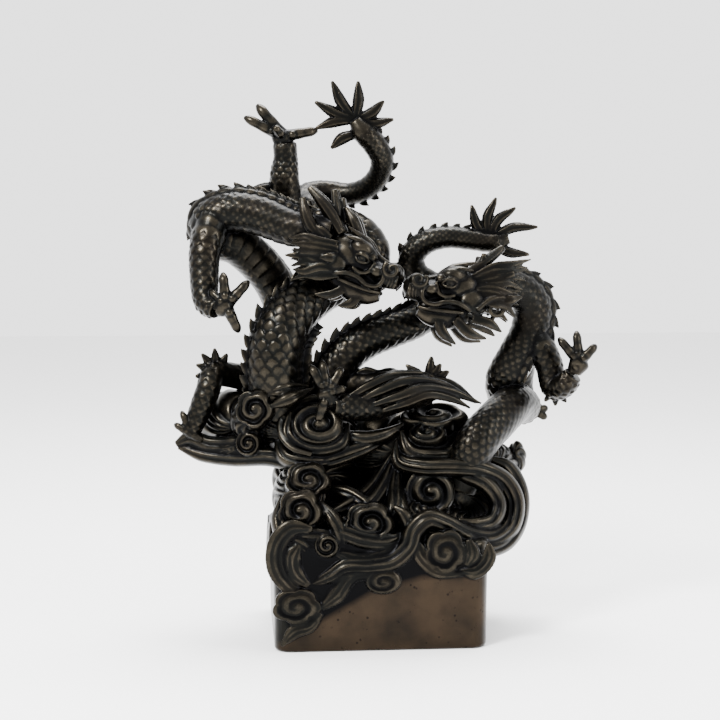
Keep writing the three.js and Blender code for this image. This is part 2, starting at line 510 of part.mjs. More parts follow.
// The block: a rounded slab that narrows towards its underside.
function block() {
  const [x, y] = [plinthWidth / 2 - plinthCorner, plinthDepth / 2 - plinthCorner];
  const outline = new THREE.Shape();
  outline.absarc(x, y, plinthCorner, 0, Math.PI / 2);
  outline.absarc(-x, y, plinthCorner, Math.PI / 2, Math.PI);
  outline.absarc(-x, -y, plinthCorner, Math.PI, Math.PI * 1.5);
  outline.absarc(x, -y, plinthCorner, Math.PI * 1.5, Math.PI * 2);
  const geometry = new THREE.ExtrudeGeometry(outline, {
    depth: plinthHeight - 2 * plinthBevel,
    bevelThickness: plinthBevel,
    bevelSize: plinthBevel,
    bevelOffset: -plinthBevel,
    bevelSegments: 1,
    curveSegments: 2,
  });
  geometry.translate(0, 0, plinthBevel - plinthHeight);
  const positions = geometry.getAttribute("position");
  for (let i = 0; i < positions.count; i++) {
    const lean = 1 + (plinthDraft * positions.getZ(i)) / (plinthHeight * (plinthWidth / 2));
    positions.setXY(i, positions.getX(i) * lean, positions.getY(i) * lean);
  }
  return geometry;
}

const bank = () => [
  cloudMasses.map(([at, radii]) => mass(at, radii, { around: 7, rings: 4 })),
  bankScrolls.map(([at, size, form]) => scroll(inDrawing(at), size, form)),
  bankRibbons.map((rows) => ribbon(rows)),
];

// Where the dragons stand in the cloud and cross one another, a casting is cut by its neighbour's seat.
function seatOf(build) {
  skin = seatGap;
  const seat = cast(seenToTrue(build()));
  skin = 0;
  return seat;
}

// The largest piece that is left once the seats are cut.
const largestOf = (made) => made.decompose().sort((a, b) => b.volume() - a.volume())[0];

const finish = { roughness: 0.45, metalness: 0.85 };
const bronze = (color) => new THREE.MeshStandardMaterial({ color, ...finish });

function meshOf(name, made, colour) {
  const { numProp, vertProperties, triVerts } = made.getMesh();
  const positions = new Float32Array((vertProperties.length / numProp) * 3);
  for (let i = 0; i < positions.length / 3; i++) {
    positions.set(vertProperties.subarray(i * numProp, i * numProp + 3), i * 3);
  }
  const geometry = new THREE.BufferGeometry();
  geometry.setAttribute("position", new THREE.BufferAttribute(positions, 3));
  geometry.setIndex(new THREE.BufferAttribute(triVerts, 1));
  geometry.computeVertexNormals();
  const mesh = new THREE.Mesh(geometry, bronze(colour));
  mesh.name = name;
  return mesh;
}

const sculpture = new THREE.Group();
sculpture.position.z = plinthHeight;
const seats = [];
const seated = (made, seat) => largestOf(made.subtract(seat));
for (const [name, build] of Object.entries(castings)) {
  const whole = cast(seenToTrue(build()));
  sculpture.add(meshOf(name, seats.reduce(seated, whole), 0x4a4436));
  seats.push(seatOf(build));
}
const cloudPlinth = cast([
  seenToTrue(bank()),
  block(),
  lowClouds(frontScrolls, frontRibbons, 0),
  [1, 2, 3].map((side) => lowClouds(plainScrolls, plainRibbons, side)),
]);
sculpture.add(meshOf("cloud_plinth", seats.reduce(seated, cloudPlinth), 0x55483a));

export default sculpture;
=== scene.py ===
import math
import bpy
import numpy as np
from mathutils import Euler, Matrix, Vector


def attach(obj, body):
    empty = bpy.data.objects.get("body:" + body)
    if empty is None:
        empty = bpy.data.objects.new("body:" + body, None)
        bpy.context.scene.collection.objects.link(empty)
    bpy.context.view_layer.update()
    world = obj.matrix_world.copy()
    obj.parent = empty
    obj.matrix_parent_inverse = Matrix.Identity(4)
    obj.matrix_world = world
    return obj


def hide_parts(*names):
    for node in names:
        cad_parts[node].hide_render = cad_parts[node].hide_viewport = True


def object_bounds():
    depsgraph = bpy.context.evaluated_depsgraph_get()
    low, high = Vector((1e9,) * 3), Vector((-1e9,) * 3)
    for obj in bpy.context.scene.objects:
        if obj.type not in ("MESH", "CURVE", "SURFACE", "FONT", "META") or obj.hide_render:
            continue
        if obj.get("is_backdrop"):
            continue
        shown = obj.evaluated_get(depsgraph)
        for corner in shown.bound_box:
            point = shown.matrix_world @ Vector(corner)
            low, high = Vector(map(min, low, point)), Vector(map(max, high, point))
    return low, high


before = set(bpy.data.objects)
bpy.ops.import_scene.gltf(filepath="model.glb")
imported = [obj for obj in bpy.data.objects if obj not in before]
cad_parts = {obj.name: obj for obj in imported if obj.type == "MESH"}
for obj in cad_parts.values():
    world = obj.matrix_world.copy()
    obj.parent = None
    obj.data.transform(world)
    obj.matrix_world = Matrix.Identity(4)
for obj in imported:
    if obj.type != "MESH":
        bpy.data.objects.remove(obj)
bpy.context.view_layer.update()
print("frame loaded")

# What a user would change. Lengths are metres unless a note says hundredths, which are hundredths of the
# drawing's height, the unit that the free form is laid out in.
drawing = {
    "height": 0.3075,        # the block's top to the highest tip of the left dragon's tail
    "hundredths": 96.55,
    "sightDistance": 357,    # hundredths
    "sightHeight": 38.3,
    "blockLevel": 3.5,
    "blockMiddle": -0.9,
    "sightTurn": 5,          # degrees
    "sightRise": 5,
}
block = {
    "width": 0.143, "depth": 0.130, "height": 0.0725,
    "draft": 0.0008, "corner": 0.011, "bevel": 0.0025, "reliefRise": 0.0022,
    # On the front the clouds end along the lowest of these lines, given as slope and level in shares of the
    # half-width and the height; elsewhere they end at plainBelow
    "cloudLines": ((0.556, -0.364), (0.28, -0.392), (0, -0.29)), "plainBelow": -0.36,
}
hide = {  # how scales lie: degrees to each side of the back, then shares of the body's radius and of a scale
    "reach": 122, "lift": 0.97, "limbReach": 180, "limbLift": 0.92, "lap": 1.12, "rowPitch": 0.56,
}
cloudBank = {
    "flutes": 3, "narrow": 1.95,  # ribbons that stay under this half-width have one flute fewer
    "coils": 1.9, "lobes": 5, "groove": 0.75, "ribsPerReach": 1.7, "voxel": 0.00065, "triangles": 195000,
}
patina = {
    # The colour for hollows is deeper patina and painted shade; the colour for edges is worn metal and a
    # painted highlight
    "hollowPatinaAndShade": (0.0007, 0.0007, 0.0009), "field": (0.0034, 0.0035, 0.0031), "warm": (0.0052, 0.0042, 0.0031),
    "wornAndHighlight": (0.029, 0.0242, 0.0168), "plinth": (0.021, 0.0142, 0.0088), "stain": (0.0090, 0.0068, 0.0048),
    "blotchSize": 0.030, "wearSize": 0.009, "grainSize": 0.0011,
    "stainSize": 0.022, "pitSize": 0.0035, "pitPatchSize": 0.006,
    "metallic": 0.95, "roughness": 0.33, "rubbedRoughness": 0.25, "bump": 0.35, "bumpDepth": 0.0003,
    "fullEdge": 0.00016, "fullRelief": 0.0011,  # how far a point stands proud where the worn metal and painted highlight are full
}
studio = {
    "floor": (0.86, 0.86, 0.86), "floorReach": 3, "sky": 2.6, "lightsAim": (0, 0, 0.2),
    "frame": 720, "pixelsPerHundredth": 4.62, "aimAcross": 378, "aimDown": 366, "sensor": 36,
    "lights": (  # place, size, watts
        ("key", (-0.8, -0.9, 1.2), (0.4, 0.4), 70),
        ("fill", (1.1, -0.7, 0.5), (0.3, 0.9), 16),
        ("top", (0.1, 0.3, 1.3), (0.8, 0.5), 40),
    ),
}
unit = drawing["height"] / drawing["hundredths"]
coarse = 1


# Places

def sightFrame():
    turn, rise = math.radians(drawing["sightTurn"]), math.radians(drawing["sightRise"])
    right = np.array([math.cos(turn), -math.sin(turn), 0])
    inward = np.array([math.sin(turn), math.cos(turn), -math.tan(rise)])
    inward /= np.linalg.norm(inward)
    return right, inward, np.cross(right, inward)


def seenToTrue(points):
    # Every drawn point, in hundredths, moves along its line of sight to its own depth, in metres
    points = np.asarray(points, float) * unit
    right, inward, up = sightFrame()
    eye = -inward * drawing["sightDistance"] * unit
    sight = points[:, :1] * right + (points[:, 2:] - drawing["sightHeight"] * unit) * up - eye
    true = sight * ((points[:, 1] - eye[1]) / sight[:, 1])[:, None] + eye
    true[:, 0] -= drawing["blockMiddle"] * unit
    true[:, 2] += (drawing["sightHeight"] - drawing["blockLevel"]) * unit + block["height"]
    return true


def catmull(points, t):
    p = np.asarray(points, float)
    ends = np.vstack([2 * p[0] - p[1], p, 2 * p[-1] - p[-2]])
    place = t * (len(p) - 1)
    i = np.minimum(place.astype(int), len(p) - 2)
    w = (place - i)[:, None]
    p0, p1, p2, p3 = ends[i], ends[i + 1], ends[i + 2], ends[i + 3]

    def gap(a, b):
        return np.maximum(np.linalg.norm(a - b, axis=1) ** 0.5, 1e-4)[:, None]

    a, b, c = gap(p0, p1), gap(p1, p2), gap(p2, p3)
    m1 = ((p1 - p0) / a - (p2 - p0) / (a + b) + (p2 - p1) / b) * b
    m2 = ((p2 - p1) / b - (p3 - p1) / (b + c) + (p3 - p2) / c) * b
    return p1 + m1 * w + (3 * (p2 - p1) - 2 * m1 - m2) * w ** 2 + (2 * (p1 - p2) + m1 + m2) * w ** 3


def turnAbout(vectors, axes, degrees):
    angle = np.radians(degrees)[:, None]
    along = np.sum(vectors * axes, axis=1, keepdims=True) * axes
    return (vectors - along) * np.cos(angle) + np.cross(axes, vectors) * np.sin(angle) + along


def route(rows, count):
    # The stations of a swept form: where each is, its half-width and its three directions
    rows = np.array([list(r) + [0] * (5 - len(r)) for r in rows], float)
    t = np.linspace(0, 1, count)
    along = catmull(rows[:, :3], np.minimum(t + 0.01, 1)) - catmull(rows[:, :3], np.maximum(t - 0.01, 0))
    along /= np.linalg.norm(along, axis=1, keepdims=True)
    viewer = np.array([0.0, -1.0, 0.0])
    outer = viewer - (along @ viewer)[:, None] * along
    flat = np.linalg.norm(outer, axis=1) < 0.1
    outer[flat] = np.array([0, 0, 1.0]) - along[flat, 2:] * along[flat]
    outer /= np.linalg.norm(outer, axis=1, keepdims=True)
    centre = catmull(rows[:, :3], t)
    outer = turnAbout(outer, along, catmull(rows[:, 4:5], t)[:, 0])
    steps = np.linalg.norm(np.diff(centre, axis=0), axis=1)
    return {
        "centre": centre, "width": np.maximum(catmull(rows[:, 3:4], t)[:, 0], 0.05), "along": along,
        "outer": outer, "across": np.cross(along, outer), "run": np.concatenate([[0], np.cumsum(steps)]),
    }


def stationsAt(path, run):
    # The same route read at given distances along it
    read = {k: np.stack([np.interp(run, path["run"], path[k][:, i]) for i in range(3)], 1)
            for k in ("centre", "along", "outer", "across")}
    read["width"] = np.interp(run, path["run"], path["width"])
    return read


# Forms: points in hundredths and faces, each one closed

def grid(rings):
    # Rings of points joined into a closed skin
    count, sides = rings.shape[:2]
    i, j = np.meshgrid(np.arange(count - 1), np.arange(sides), indexing="ij")
    a, b = i * sides + j, i * sides + (j + 1) % sides
    quads = np.stack([a, b, b + sides, a + sides], -1).reshape(-1, 4)
    points = np.vstack([rings.reshape(-1, 3), rings[0].mean(0), rings[-1].mean(0)])
    first, last, k = count * sides, count * sides + 1, np.arange(sides)
    top = (count - 1) * sides
    caps = [np.stack([(k + 1) % sides, k, np.full(sides, first)], 1),
            np.stack([top + k, top + (k + 1) % sides, np.full(sides, last)], 1)]
    return points, [quads, *caps]


def sweep(rows, ring, steps):
    path = route(rows, steps)
    shape = ring(path) if callable(ring) else np.broadcast_to(ring, (steps, *ring.shape))
    return grid(skin(path, shape))


def skin(path, shape):
    reach = shape * path["width"][:, None, None]
    return (path["centre"][:, None] + reach[..., :1] * path["across"][:, None]
            + reach[..., 1:] * path["outer"][:, None])


def roundRing(sides, flat=1.0, flutes=0, groove=0.14):
    angle = np.linspace(0, 2 * math.pi, sides, endpoint=False)
    reach = 1 - groove * (0.5 + 0.5 * np.cos(flutes * angle)) if flutes else np.ones(sides)
    return np.stack([np.sin(angle) * reach, np.cos(angle) * reach * flat], 1)


def strand(rows, flat=0.6, flutes=6, groove=0.2, steps=16, sides=30):
    return sweep(rows, roundRing(sides, flat, flutes, groove), steps)


def ribbonRing(flutes, thick):
    # A band with raised flutes on its outer side and a plain back
    angle = np.linspace(0, 2 * math.pi, 44, endpoint=False)
    across = np.sin(angle)
    crown = np.cos(angle) * thick
    front = crown > 0
    crown[front] *= 0.66 + 0.34 * np.abs(np.cos(math.pi / 2 * (flutes * across[front] + flutes + 1))) ** 0.8
    return np.stack([across, crown], 1)


def egg(at, radii, rings=28, sides=40):
    down = np.linspace(0.03, math.pi - 0.03, rings)[:, None]
    angle = np.linspace(0, 2 * math.pi, sides, endpoint=False)[None]
    across, depth, up = np.sin(down) * np.cos(angle), np.sin(down) * np.sin(angle), np.cos(down) + 0 * angle
    return grid(np.stack([across, depth, up], -1)[::-1] * np.array(radii) + np.array(at))


def placed(form, matrix):
    points, faces = form
    m = np.array(matrix)
    return points @ m[:3, :3].T + m[:3, 3], faces


def flipped(form):
    return form[0], [f[:, ::-1] for f in form[1]]


def mirrored(form):
    return flipped((form[0] * np.array([1, -1, 1]), form[1]))


# Meshes

def meshOf(name, forms):
    start, points, quads, tris = 0, [], [], []
    for p, faces in forms:
        points.append(p)
        for f in faces:
            (quads if f.shape[1] == 4 else tris).append(f + start)
        start += len(p)
    mesh = bpy.data.meshes.new(name)
    faces = [f.tolist() for f in quads] + [f.tolist() for f in tris]
    mesh.from_pydata(np.vstack(points).tolist(), [], [f for group in faces for f in group])
    return mesh


def objectOf(name, data):
    made = bpy.data.objects.new(name, data)
    bpy.context.scene.collection.objects.link(made)
    return made


def arrays(mesh):
    points = np.empty(len(mesh.vertices) * 3)
    mesh.vertices.foreach_get("co", points)
    mesh.calc_loop_triangles()
    tris = np.empty(len(mesh.loop_triangles) * 3, int)
    mesh.loop_triangles.foreach_get("vertices", tris)
    return points.reshape(-1, 3), [tris.reshape(-1, 3)]


def evaluated(made):
    graph = bpy.context.evaluated_depsgraph_get()
    mesh = bpy.data.meshes.new_from_object(made.evaluated_get(graph))
    made.modifiers.clear()
    return mesh


def addMaths(nodes, link, kind, a, b):
    # One step of arithmetic on numbers or on what other nodes give
    node = nodes.new("ShaderNodeMath")
    node.operation = kind
    for socket, value in zip(node.inputs, (a, b)):
        if isinstance(value, (int, float)):
            socket.default_value = value
        else:
            link(value, socket)
    return node.outputs[0]


def repeatTree():
    # Sets a piece at every point, facing and pointing as the point says, with a little play in its size
    tree = bpy.data.node_groups.new("repeatOnPoints", "GeometryNodeTree")
    sockets = {}
    for name, kind in (("Points", "Geometry"), ("Piece", "Object"), ("Size", "Float"), ("Play", "Float"),
                       ("Seed", "Int"), ("Finish", "Material")):
        sockets[name] = tree.interface.new_socket(name, in_out="INPUT", socket_type="NodeSocket" + kind)
    tree.interface.new_socket("Result", in_out="OUTPUT", socket_type="NodeSocketGeometry")
    nodes, link = tree.nodes, tree.links.new
    given, result = nodes.new("NodeGroupInput"), nodes.new("NodeGroupOutput")
    info = nodes.new("GeometryNodeObjectInfo")
    link(given.outputs["Piece"], info.inputs["Object"])

    def read(name, kind):
        node = nodes.new("GeometryNodeInputNamedAttribute")
        node.data_type = kind
        node.inputs["Name"].default_value = name
        return node.outputs["Attribute"]

    def maths(kind, a, b):
        return addMaths(nodes, link, kind, a, b)

    facing = nodes.new("FunctionNodeAlignRotationToVector")
    facing.axis = "Z"
    link(read("facing", "FLOAT_VECTOR"), facing.inputs["Vector"])
    pointing = nodes.new("FunctionNodeAlignRotationToVector")
    pointing.axis, pointing.pivot_axis = "X", "Z"
    link(facing.outputs[0], pointing.inputs["Rotation"])
    link(read("pointing", "FLOAT_VECTOR"), pointing.inputs["Vector"])
    play = nodes.new("FunctionNodeRandomValue")
    play.data_type = "FLOAT"
    link(maths("SUBTRACT", 1, given.outputs["Play"]), play.inputs[2])  # the least and the most, as floats
    link(maths("ADD", 1, given.outputs["Play"]), play.inputs[3])
    link(given.outputs["Seed"], play.inputs["Seed"])
    sized = maths("MULTIPLY", read("size", "FLOAT"), play.outputs[1])
    setOn = nodes.new("GeometryNodeInstanceOnPoints")
    link(given.outputs["Points"], setOn.inputs["Points"])
    link(info.outputs["Geometry"], setOn.inputs["Instance"])
    link(pointing.outputs[0], setOn.inputs["Rotation"])
    link(maths("MULTIPLY", sized, given.outputs["Size"]), setOn.inputs["Scale"])
    real, finish = nodes.new("GeometryNodeRealizeInstances"), nodes.new("GeometryNodeSetMaterial")
    link(setOn.outputs[0], real.inputs[0])
    link(real.outputs[0], finish.inputs["Geometry"])
    link(given.outputs["Finish"], finish.inputs["Material"])
    link(finish.outputs[0], result.inputs[0])
    return tree, {name: socket.identifier for name, socket in sockets.items()}


def repeated(points, facing, pointing, size, piece, finish, play, seed):
    mesh = bpy.data.meshes.new("points")
    mesh.from_pydata(points.tolist(), [], [])
    for name, values in (("facing", facing), ("pointing", pointing)):
        held = mesh.attributes.new(name, "FLOAT_VECTOR", "POINT")
        held.data.foreach_set("vector", np.ascontiguousarray(values).ravel())
    mesh.attributes.new("size", "FLOAT", "POINT").data.foreach_set("value", size)
    carrier = objectOf("points", mesh)
    nodes = carrier.modifiers.new("repeat", "NODES")
    nodes.node_group = repeatNodes
    for name, value in (("Piece", piece), ("Size", 1.0), ("Play", play), ("Seed", seed), ("Finish", finish)):
        nodes[repeatInputs[name]] = value
    made = evaluated(carrier)
    bpy.data.objects.remove(carrier)
    return arrays(made)


def scalePiece():
    # A shield with a proud rear edge; its front lies under the one before it
    angle = np.linspace(0, 2 * math.pi, 14, endpoint=False)
    rings = []
    for reach, height in ((0.9, -0.34), (1, -0.05), (0.93, 0.06), (0.6, 0.13), (0.08, 0.17)):
        point = 1 + 0.14 * np.maximum(np.cos(angle), 0) ** 4
        x, y = 0.66 * reach * np.cos(angle) * point, 0.56 * reach * np.sin(angle)
        rings.append(np.stack([x, y, height + 0.2 * x], 1))
    return objectOf("scale", meshOf("scale", [grid(np.array(rings))]))


def spinePiece():
    # A fin, thin across the body and long along it, that leans back to a blunt tip
    rows = [(-0.1, 0, -0.45, 0.8), (0, 0, 0, 0.74), (0.22, 0, 0.36, 0.48), (0.5, 0, 0.64, 0.24),
            (0.72, 0, 0.84, 0.08)]
    return objectOf("spine", meshOf("spine", [sweep(rows, roundRing(14, 0.3), 11)]))


def scales(rows, around, finish, span, seed, reach=hide["reach"], lift=hide["lift"]):
    # Staggered rows of scales round the back and flanks, each row's size following the body's width
    path = route(rows, 400)
    run, row, out = span[0] * path["run"][-1], 0, []
    while run < span[1] * path["run"][-1]:
        at = stationsAt(path, np.array([run]))
        size = 2 * math.pi * at["width"][0] / around
        turns = (np.arange(around) + 0.5 * (row % 2)) / around * 360
        turns = (turns + 180) % 360 - 180
        angle = np.radians(turns[np.abs(turns) <= reach])[:, None]
        facing = np.cos(angle) * at["outer"] + np.sin(angle) * at["across"]
        place, count = at["centre"] + facing * at["width"][0] * lift, len(angle)
        out.append((place, facing, np.repeat(at["along"], count, 0), np.full(count, size * hide["lap"])))
        run, row = run + size * hide["rowPitch"], row + 1
    points, facing, along, size = (np.concatenate(part) for part in zip(*out))
    return repeated(points, facing, along, size, scaleShape, finish, 0.05, seed)


def spines(rows, pitch, finish, span, tall, seed, turn=0):
    # Fins standing root to root along the back, each as long as the pitch
    path = route([(*r[:4], (r[4] if len(r) > 4 else 0) + turn) for r in rows], 400)
    total = path["run"][-1]
    count = max(2, round((span[1] - span[0]) * total * unit / pitch))
    at = stationsAt(path, np.linspace(span[0], span[1], count) * total)
    place = at["centre"] + at["outer"] * at["width"][:, None] * 1.02
    size = (pitch / unit) * tall * np.clip(at["width"] / 3.6, 0.7, 1.15)
    return repeated(place, at["outer"], at["along"], size, spineShape, finish, 0.1, seed)


def dorsalRoll(rows, pitch, span):
    # A beaded roll along the back of the neck, under the fins
    path, count, sides = route(rows, 500), 360, 24
    run = np.linspace(*span, count) * path["run"][-1]
    at = stationsAt(path, run)
    bead = np.abs(np.sin(math.pi * run * unit / pitch)) ** 0.6
    at["centre"] = at["centre"] + at["outer"] * at["width"][:, None] * 0.92
    at["width"] = at["width"] * 0.34 * (0.8 + 0.2 * bead)
    return grid(skin(at, np.broadcast_to(roundRing(sides), (count, sides, 2))))


# Dragons

def bodyForm(rows, steps):
    # A tube with a raised line along the back and overlapping plates under the belly
    angle = np.linspace(0, 2 * math.pi, 56, endpoint=False)
    under = np.abs(np.abs((angle + math.pi) % (2 * math.pi) - math.pi) - math.pi)
    belly = np.clip((math.radians(52) - under) / math.radians(6), 0, 1)
    rim = np.exp(-((under - math.radians(54)) / math.radians(6)) ** 2)
    back = np.exp(-((math.pi - under) / math.radians(13)) ** 2)

    def ring(path):
        width = path["width"].mean()
        wave = (path["run"] / (width * 0.62)) % 1
        plate = (0.055 * (wave ** 0.6) * (1 - np.clip((wave - 0.86) / 0.14, 0, 1)))[:, None]
        reach = 1 + plate * belly + 0.05 * rim + 0.03 * back
        return np.stack([np.sin(angle) * reach, np.cos(angle) * reach], -1)

    return sweep(rows, ring, steps)


def paw(at, wrist, fingers, size=1.0):
    x, y, z = at
    ahead = (x + (x - wrist[0]) * 0.5, y, z + (z - wrist[2]) * 0.5)
    palm = [(*wrist, 1.8 * size), (x, y, z, 2.5 * size), (*ahead, 1.6 * size)]
    parts = [sweep(palm, roundRing(32, 0.8), 20)]
    for dx, dz, *rest in fingers:
        dy, fat = [*rest, *(0, 1)[len(rest):]]
        shares = ((0, 0, 1.6), (0.3, -0.6, 1.25), (0.5, -0.8, 1.22), (0.68, -0.7, 1.08), (0.84, -0.5, 1.08),
                  (0.97, -0.1, 0.85), (1.07, 0.3, 0.4))
        rows = [(x + dx * t, y + dy * t + lift, z + dz * t, wide * fat * size) for t, lift, wide in shares]
        parts.append(sweep(rows, roundRing(24, 0.92), 30))
        knuckle = (x + dx * 0.3, y + dy * 0.3 - 1.5 * size, z + dz * 0.3)
        parts.append(egg(knuckle, (0.9 * size, 0.7 * size, 0.9 * size), 12, 14))
    return parts


def fan(root, tips, width):
    # Blades that spread from one root, each bowed by its own share
    made = []
    rx, ry, rz = root
    for x, y, z, *bow in tips:
        bend = bow[0] if bow else 0
        middle = ((rx + x) / 2 - (z - rz) * bend, (ry + y) / 2, (rz + z) / 2 + (x - rx) * bend)
        beyond = tuple((m + 3 * tip) / 4 for m, tip in zip(middle, (x, y, z)))
        rows = [(*root, width * 0.7), (*middle, width), (*beyond, 0.55 * width), (x, y, z, 0.26 * width)]
        made.append(strand(rows, 0.6, 6, 0.3, 30, 48))
    return made


def spiralRows(centre, radius, turns, thick, plane, start=0, inner=0.15, count=16):
    # A line that winds in to its middle, in the plane of two directions
    a, b = (np.array(v, float) for v in plane)
    share = np.linspace(0, 1, count)
    angle = start + share * turns * 2 * math.pi
    reach = radius * (1 - (1 - inner) * share)
    points = np.array(centre) + reach[:, None] * (np.cos(angle)[:, None] * a + np.sin(angle)[:, None] * b)
    return [(*p, thick * (1 - 0.35 * s)) for p, s in zip(points, share)]


def between(top, low, share):
    return [tuple(a + (b - a) * share for a, b in zip(p, q)) for p, q in zip(top, low)]


def head(at, look):
    # Snout along +x and crown along +z, in hundredths. What is sided stands on both sides.
    play = np.random.default_rng(look["seed"])
    whole = [
        egg((-3.6, 0, 0.2), (5.4, 3.9, 4.2)),
        egg((0.6, 0, -4.2), (6, 2.9, 2.4)),
        egg((8.3, 0, -0.3), (1.7, 2.1, 2.2), 18, 24),
        sweep([(-2, 0, -0.6, 3.6), (1.5, 0, -0.9, 2.8), (5, 0, -1, 2.6), (7.6, 0, -0.6, 2.5),
               (9.4, 0, -0.5, 2.0)], roundRing(44, 0.9), 36),
        sweep([(-4, 0, -5, 2.4), (0, 0, -6.4, 2.6), (4, 0, -6.2, 2.1), (6.5, 0, -5.2, 1.3)],
              roundRing(32, 0.9), 26),
        strand([(8.6, 0, 1.0, 0.6), (6, 0, 1.5, 0.9), (2.6, 0, 2.2, 0.9), (-0.6, 0, 3.9, 0.9),
                (-4, 0, 4.4, 0.5)], 1, 3, 0.2),
    ]
    sided = [
        egg((-0.9, 2.4, 2.6), (2.7, 2.0, 1.8)),
        egg((1.8, 2.0, 1.7), (1.4, 1.2, 1.1), 16, 22),
        egg((-5.4, 3, -3), (3.4, 1.6, 2.8)),
        egg((4.1, 2.0, -0.8), (1.6, 1.2, 1.25), 16, 22),
        egg((7.3, 1.6, 0.9), (1.9, 1.2, 1.8), 16, 22),
        egg((0.3, 3.1, 0.7), (0.95, 0.85, 0.8), 18, 24),
    ]
    # Lids, nostril, upper lip, whisker root and jaw
    sided += [sweep(rows, roundRing(sides), steps) for sides, steps, rows in (
        (12, 20, ((2.1, 2.5, 0.3, 0.25), (1.4, 3.5, 1.2, 0.4), (0.2, 4, 1.5, 0.45), (-1.3, 3.6, 0.9, 0.25))),
        (12, 20, ((2.1, 2.6, 0.3, 0.2), (1, 3.5, -0.2, 0.36), (-0.4, 3.6, -0.2, 0.36),
                  (-1.4, 3.4, 0.9, 0.2))),
        (14, 40, spiralRows((7.2, 2.5, 1.1), 1.85, 1.35, 0.66, ((1, 0, 0), (0, -0.05, 1)), 2.6, 0.1)),
        (14, 50, ((-4.4, 3.6, -5.2, 0.5), (-3, 3.9, -4.4, 0.6), (-0.8, 3.8, -3.6, 0.62),
                  (1.3, 3.4, -3.6, 0.6), (3.8, 3, -4.2, 0.58), (5.8, 2.6, -3.4, 0.55),
                  (6.3, 2.6, -1.6, 0.5), (5.6, 2.5, -0.3, 0.4))),
        (14, 26, ((3.2, 2.3, 0.9, 0.4), (2.6, 2.8, -1.6, 0.5), (1, 3.2, -2.4, 0.5), (-0.9, 3.4, -2, 0.4))),
        (14, 30, ((-3, 3, -5.6, 0.45), (1, 2.9, -5.5, 0.5), (4.4, 2.2, -5.2, 0.48), (6.7, 0.7, -4.6, 0.4))),
    )]
    sided += [strand(rows, 0.7, 3, 0.3) for rows in (  # brows
        ((2.8, 1.5, 2.2, 0.5), (0.6, 2.9, 3.2, 0.85), (-2, 3.7, 3.8, 0.8), (-4.6, 4.3, 3.6, 0.2)),
        ((2, 1.1, 3.0, 0.5), (-0.4, 2.2, 4.3, 0.85), (-3, 2.9, 5.0, 0.7), (-5.4, 3.5, 5.6, 0.2)),
    )]
    sided += [sweep([(x, 2.2, 0.2, 0.2), (x + 0.25, 2.5, -1.3, 0.34), (x, 2.0, -2.8, 0.2)], roundRing(10), 14)
              for x in (6.9, 7.6, 8.3, 9.0)]  # wrinkles of the lip
    for layer, (count, inward) in enumerate(((7, 0.0), (5, 1.3))):  # the mane, top lock to lowest
        for k in range(count):
            lock = between(look["mane"][0], look["mane"][1], (k + 0.4 * layer) / (count - 1 + 0.4 * layer))
            sway = play.uniform(-0.5, 0.5)
            rows = [(x, y - inward + 0.25 * sway, z + sway * wave, wide)
                    for (x, y, z), wave, wide in zip(lock, (0, 0.9, -0.9, 1.1), (1.1, 1.3, 1.0, 0.22))]
            sided.append(strand(rows, 0.65, 4, 0.3, 24, 34))
    sided += [strand(row, 0.85, 8, 0.14, 28, 36) for row in look["horns"]]
    sided += [strand(row, 0.6, 4, 0.3, 22, 32) for row in look["locks"]]
    sided += [sweep(row, roundRing(14), 40) for row in look["curls"]]
    turn = Euler([math.radians(look[k]) for k in ("tilt", "pitch", "yaw")], "XYZ").to_matrix().to_4x4()
    matrix = Matrix.Translation(at) @ turn
    return [placed(form, matrix) for form in whole + sided + [mirrored(form) for form in sided]]


leftLook = {
    "pitch": 24, "yaw": -14, "tilt": -6, "seed": 11,
    "mane": (
        ((-6, 3.4, 1), (-9.6, 4.4, 0.4), (-13, 4.6, -0.6), (-16, 4, -1.6)),
        ((-3, 3.4, -4.6), (-6.5, 4, -6.4), (-9.5, 3.8, -8.2), (-12, 3.2, -9.6)),
    ),
    "horns": [
        ((-6.5, 1.6, 3.6, 1.2), (-10, 2, 6.2, 1.45), (-13.6, 2.3, 8.2, 1.3), (-17.2, 2.2, 9.8, 0.7)),
        ((-9, 2.8, 0.6, 1.3), (-13.1, 3.2, 2.4, 1.5), (-15.6, 3.4, 4.8, 1.3), (-17.4, 3.2, 7.2, 0.7)),
        ((-7.4, 0.9, 4.6, 1), (-9.8, 1, 8, 1.1), (-12.2, 1, 11.6, 0.75)),
        ((-7, 0.3, 6, 0.9), (-8.6, 0.4, 8.4, 0.9), (-9.8, 0.4, 10.8, 0.5)),
        ((-2.4, 1.2, 4.4, 1.2), (-5, 1.6, 7, 1.3), (-8.2, 1.4, 9.2, 0.4)),
    ],
    "locks": [
        ((-7.9, 3.4, 1.8, 0.8), (-10.2, 3.7, 2.4, 1.0), (-12.4, 3.7, 2.6, 0.6)),
        ((-7.2, 3.6, 0.6, 0.7), (-8.6, 4, 0.2, 0.95), (-9.8, 4.1, -0.2, 0.6)),
        ((-4.6, 3.6, -1.4, 0.7), (-6, 4.5, -2.2, 1.3), (-8, 4.8, -3, 0.4)),
        ((-10.6, 3.8, -4.2, 0.9), (-13, 4.2, -4.8, 0.9), (-15.4, 4.2, -5.8, 0.25)),
        ((2.4, 1.2, -6.8, 1.3), (2, 1.3, -9, 1.4), (-0.6, 1.2, -11, 0.3)),
        ((-1, 1.6, -7.2, 1.3), (-3, 1.8, -9.4, 1.3), (-6.4, 1.8, -10.8, 0.3)),
    ],
    "curls": [],
}
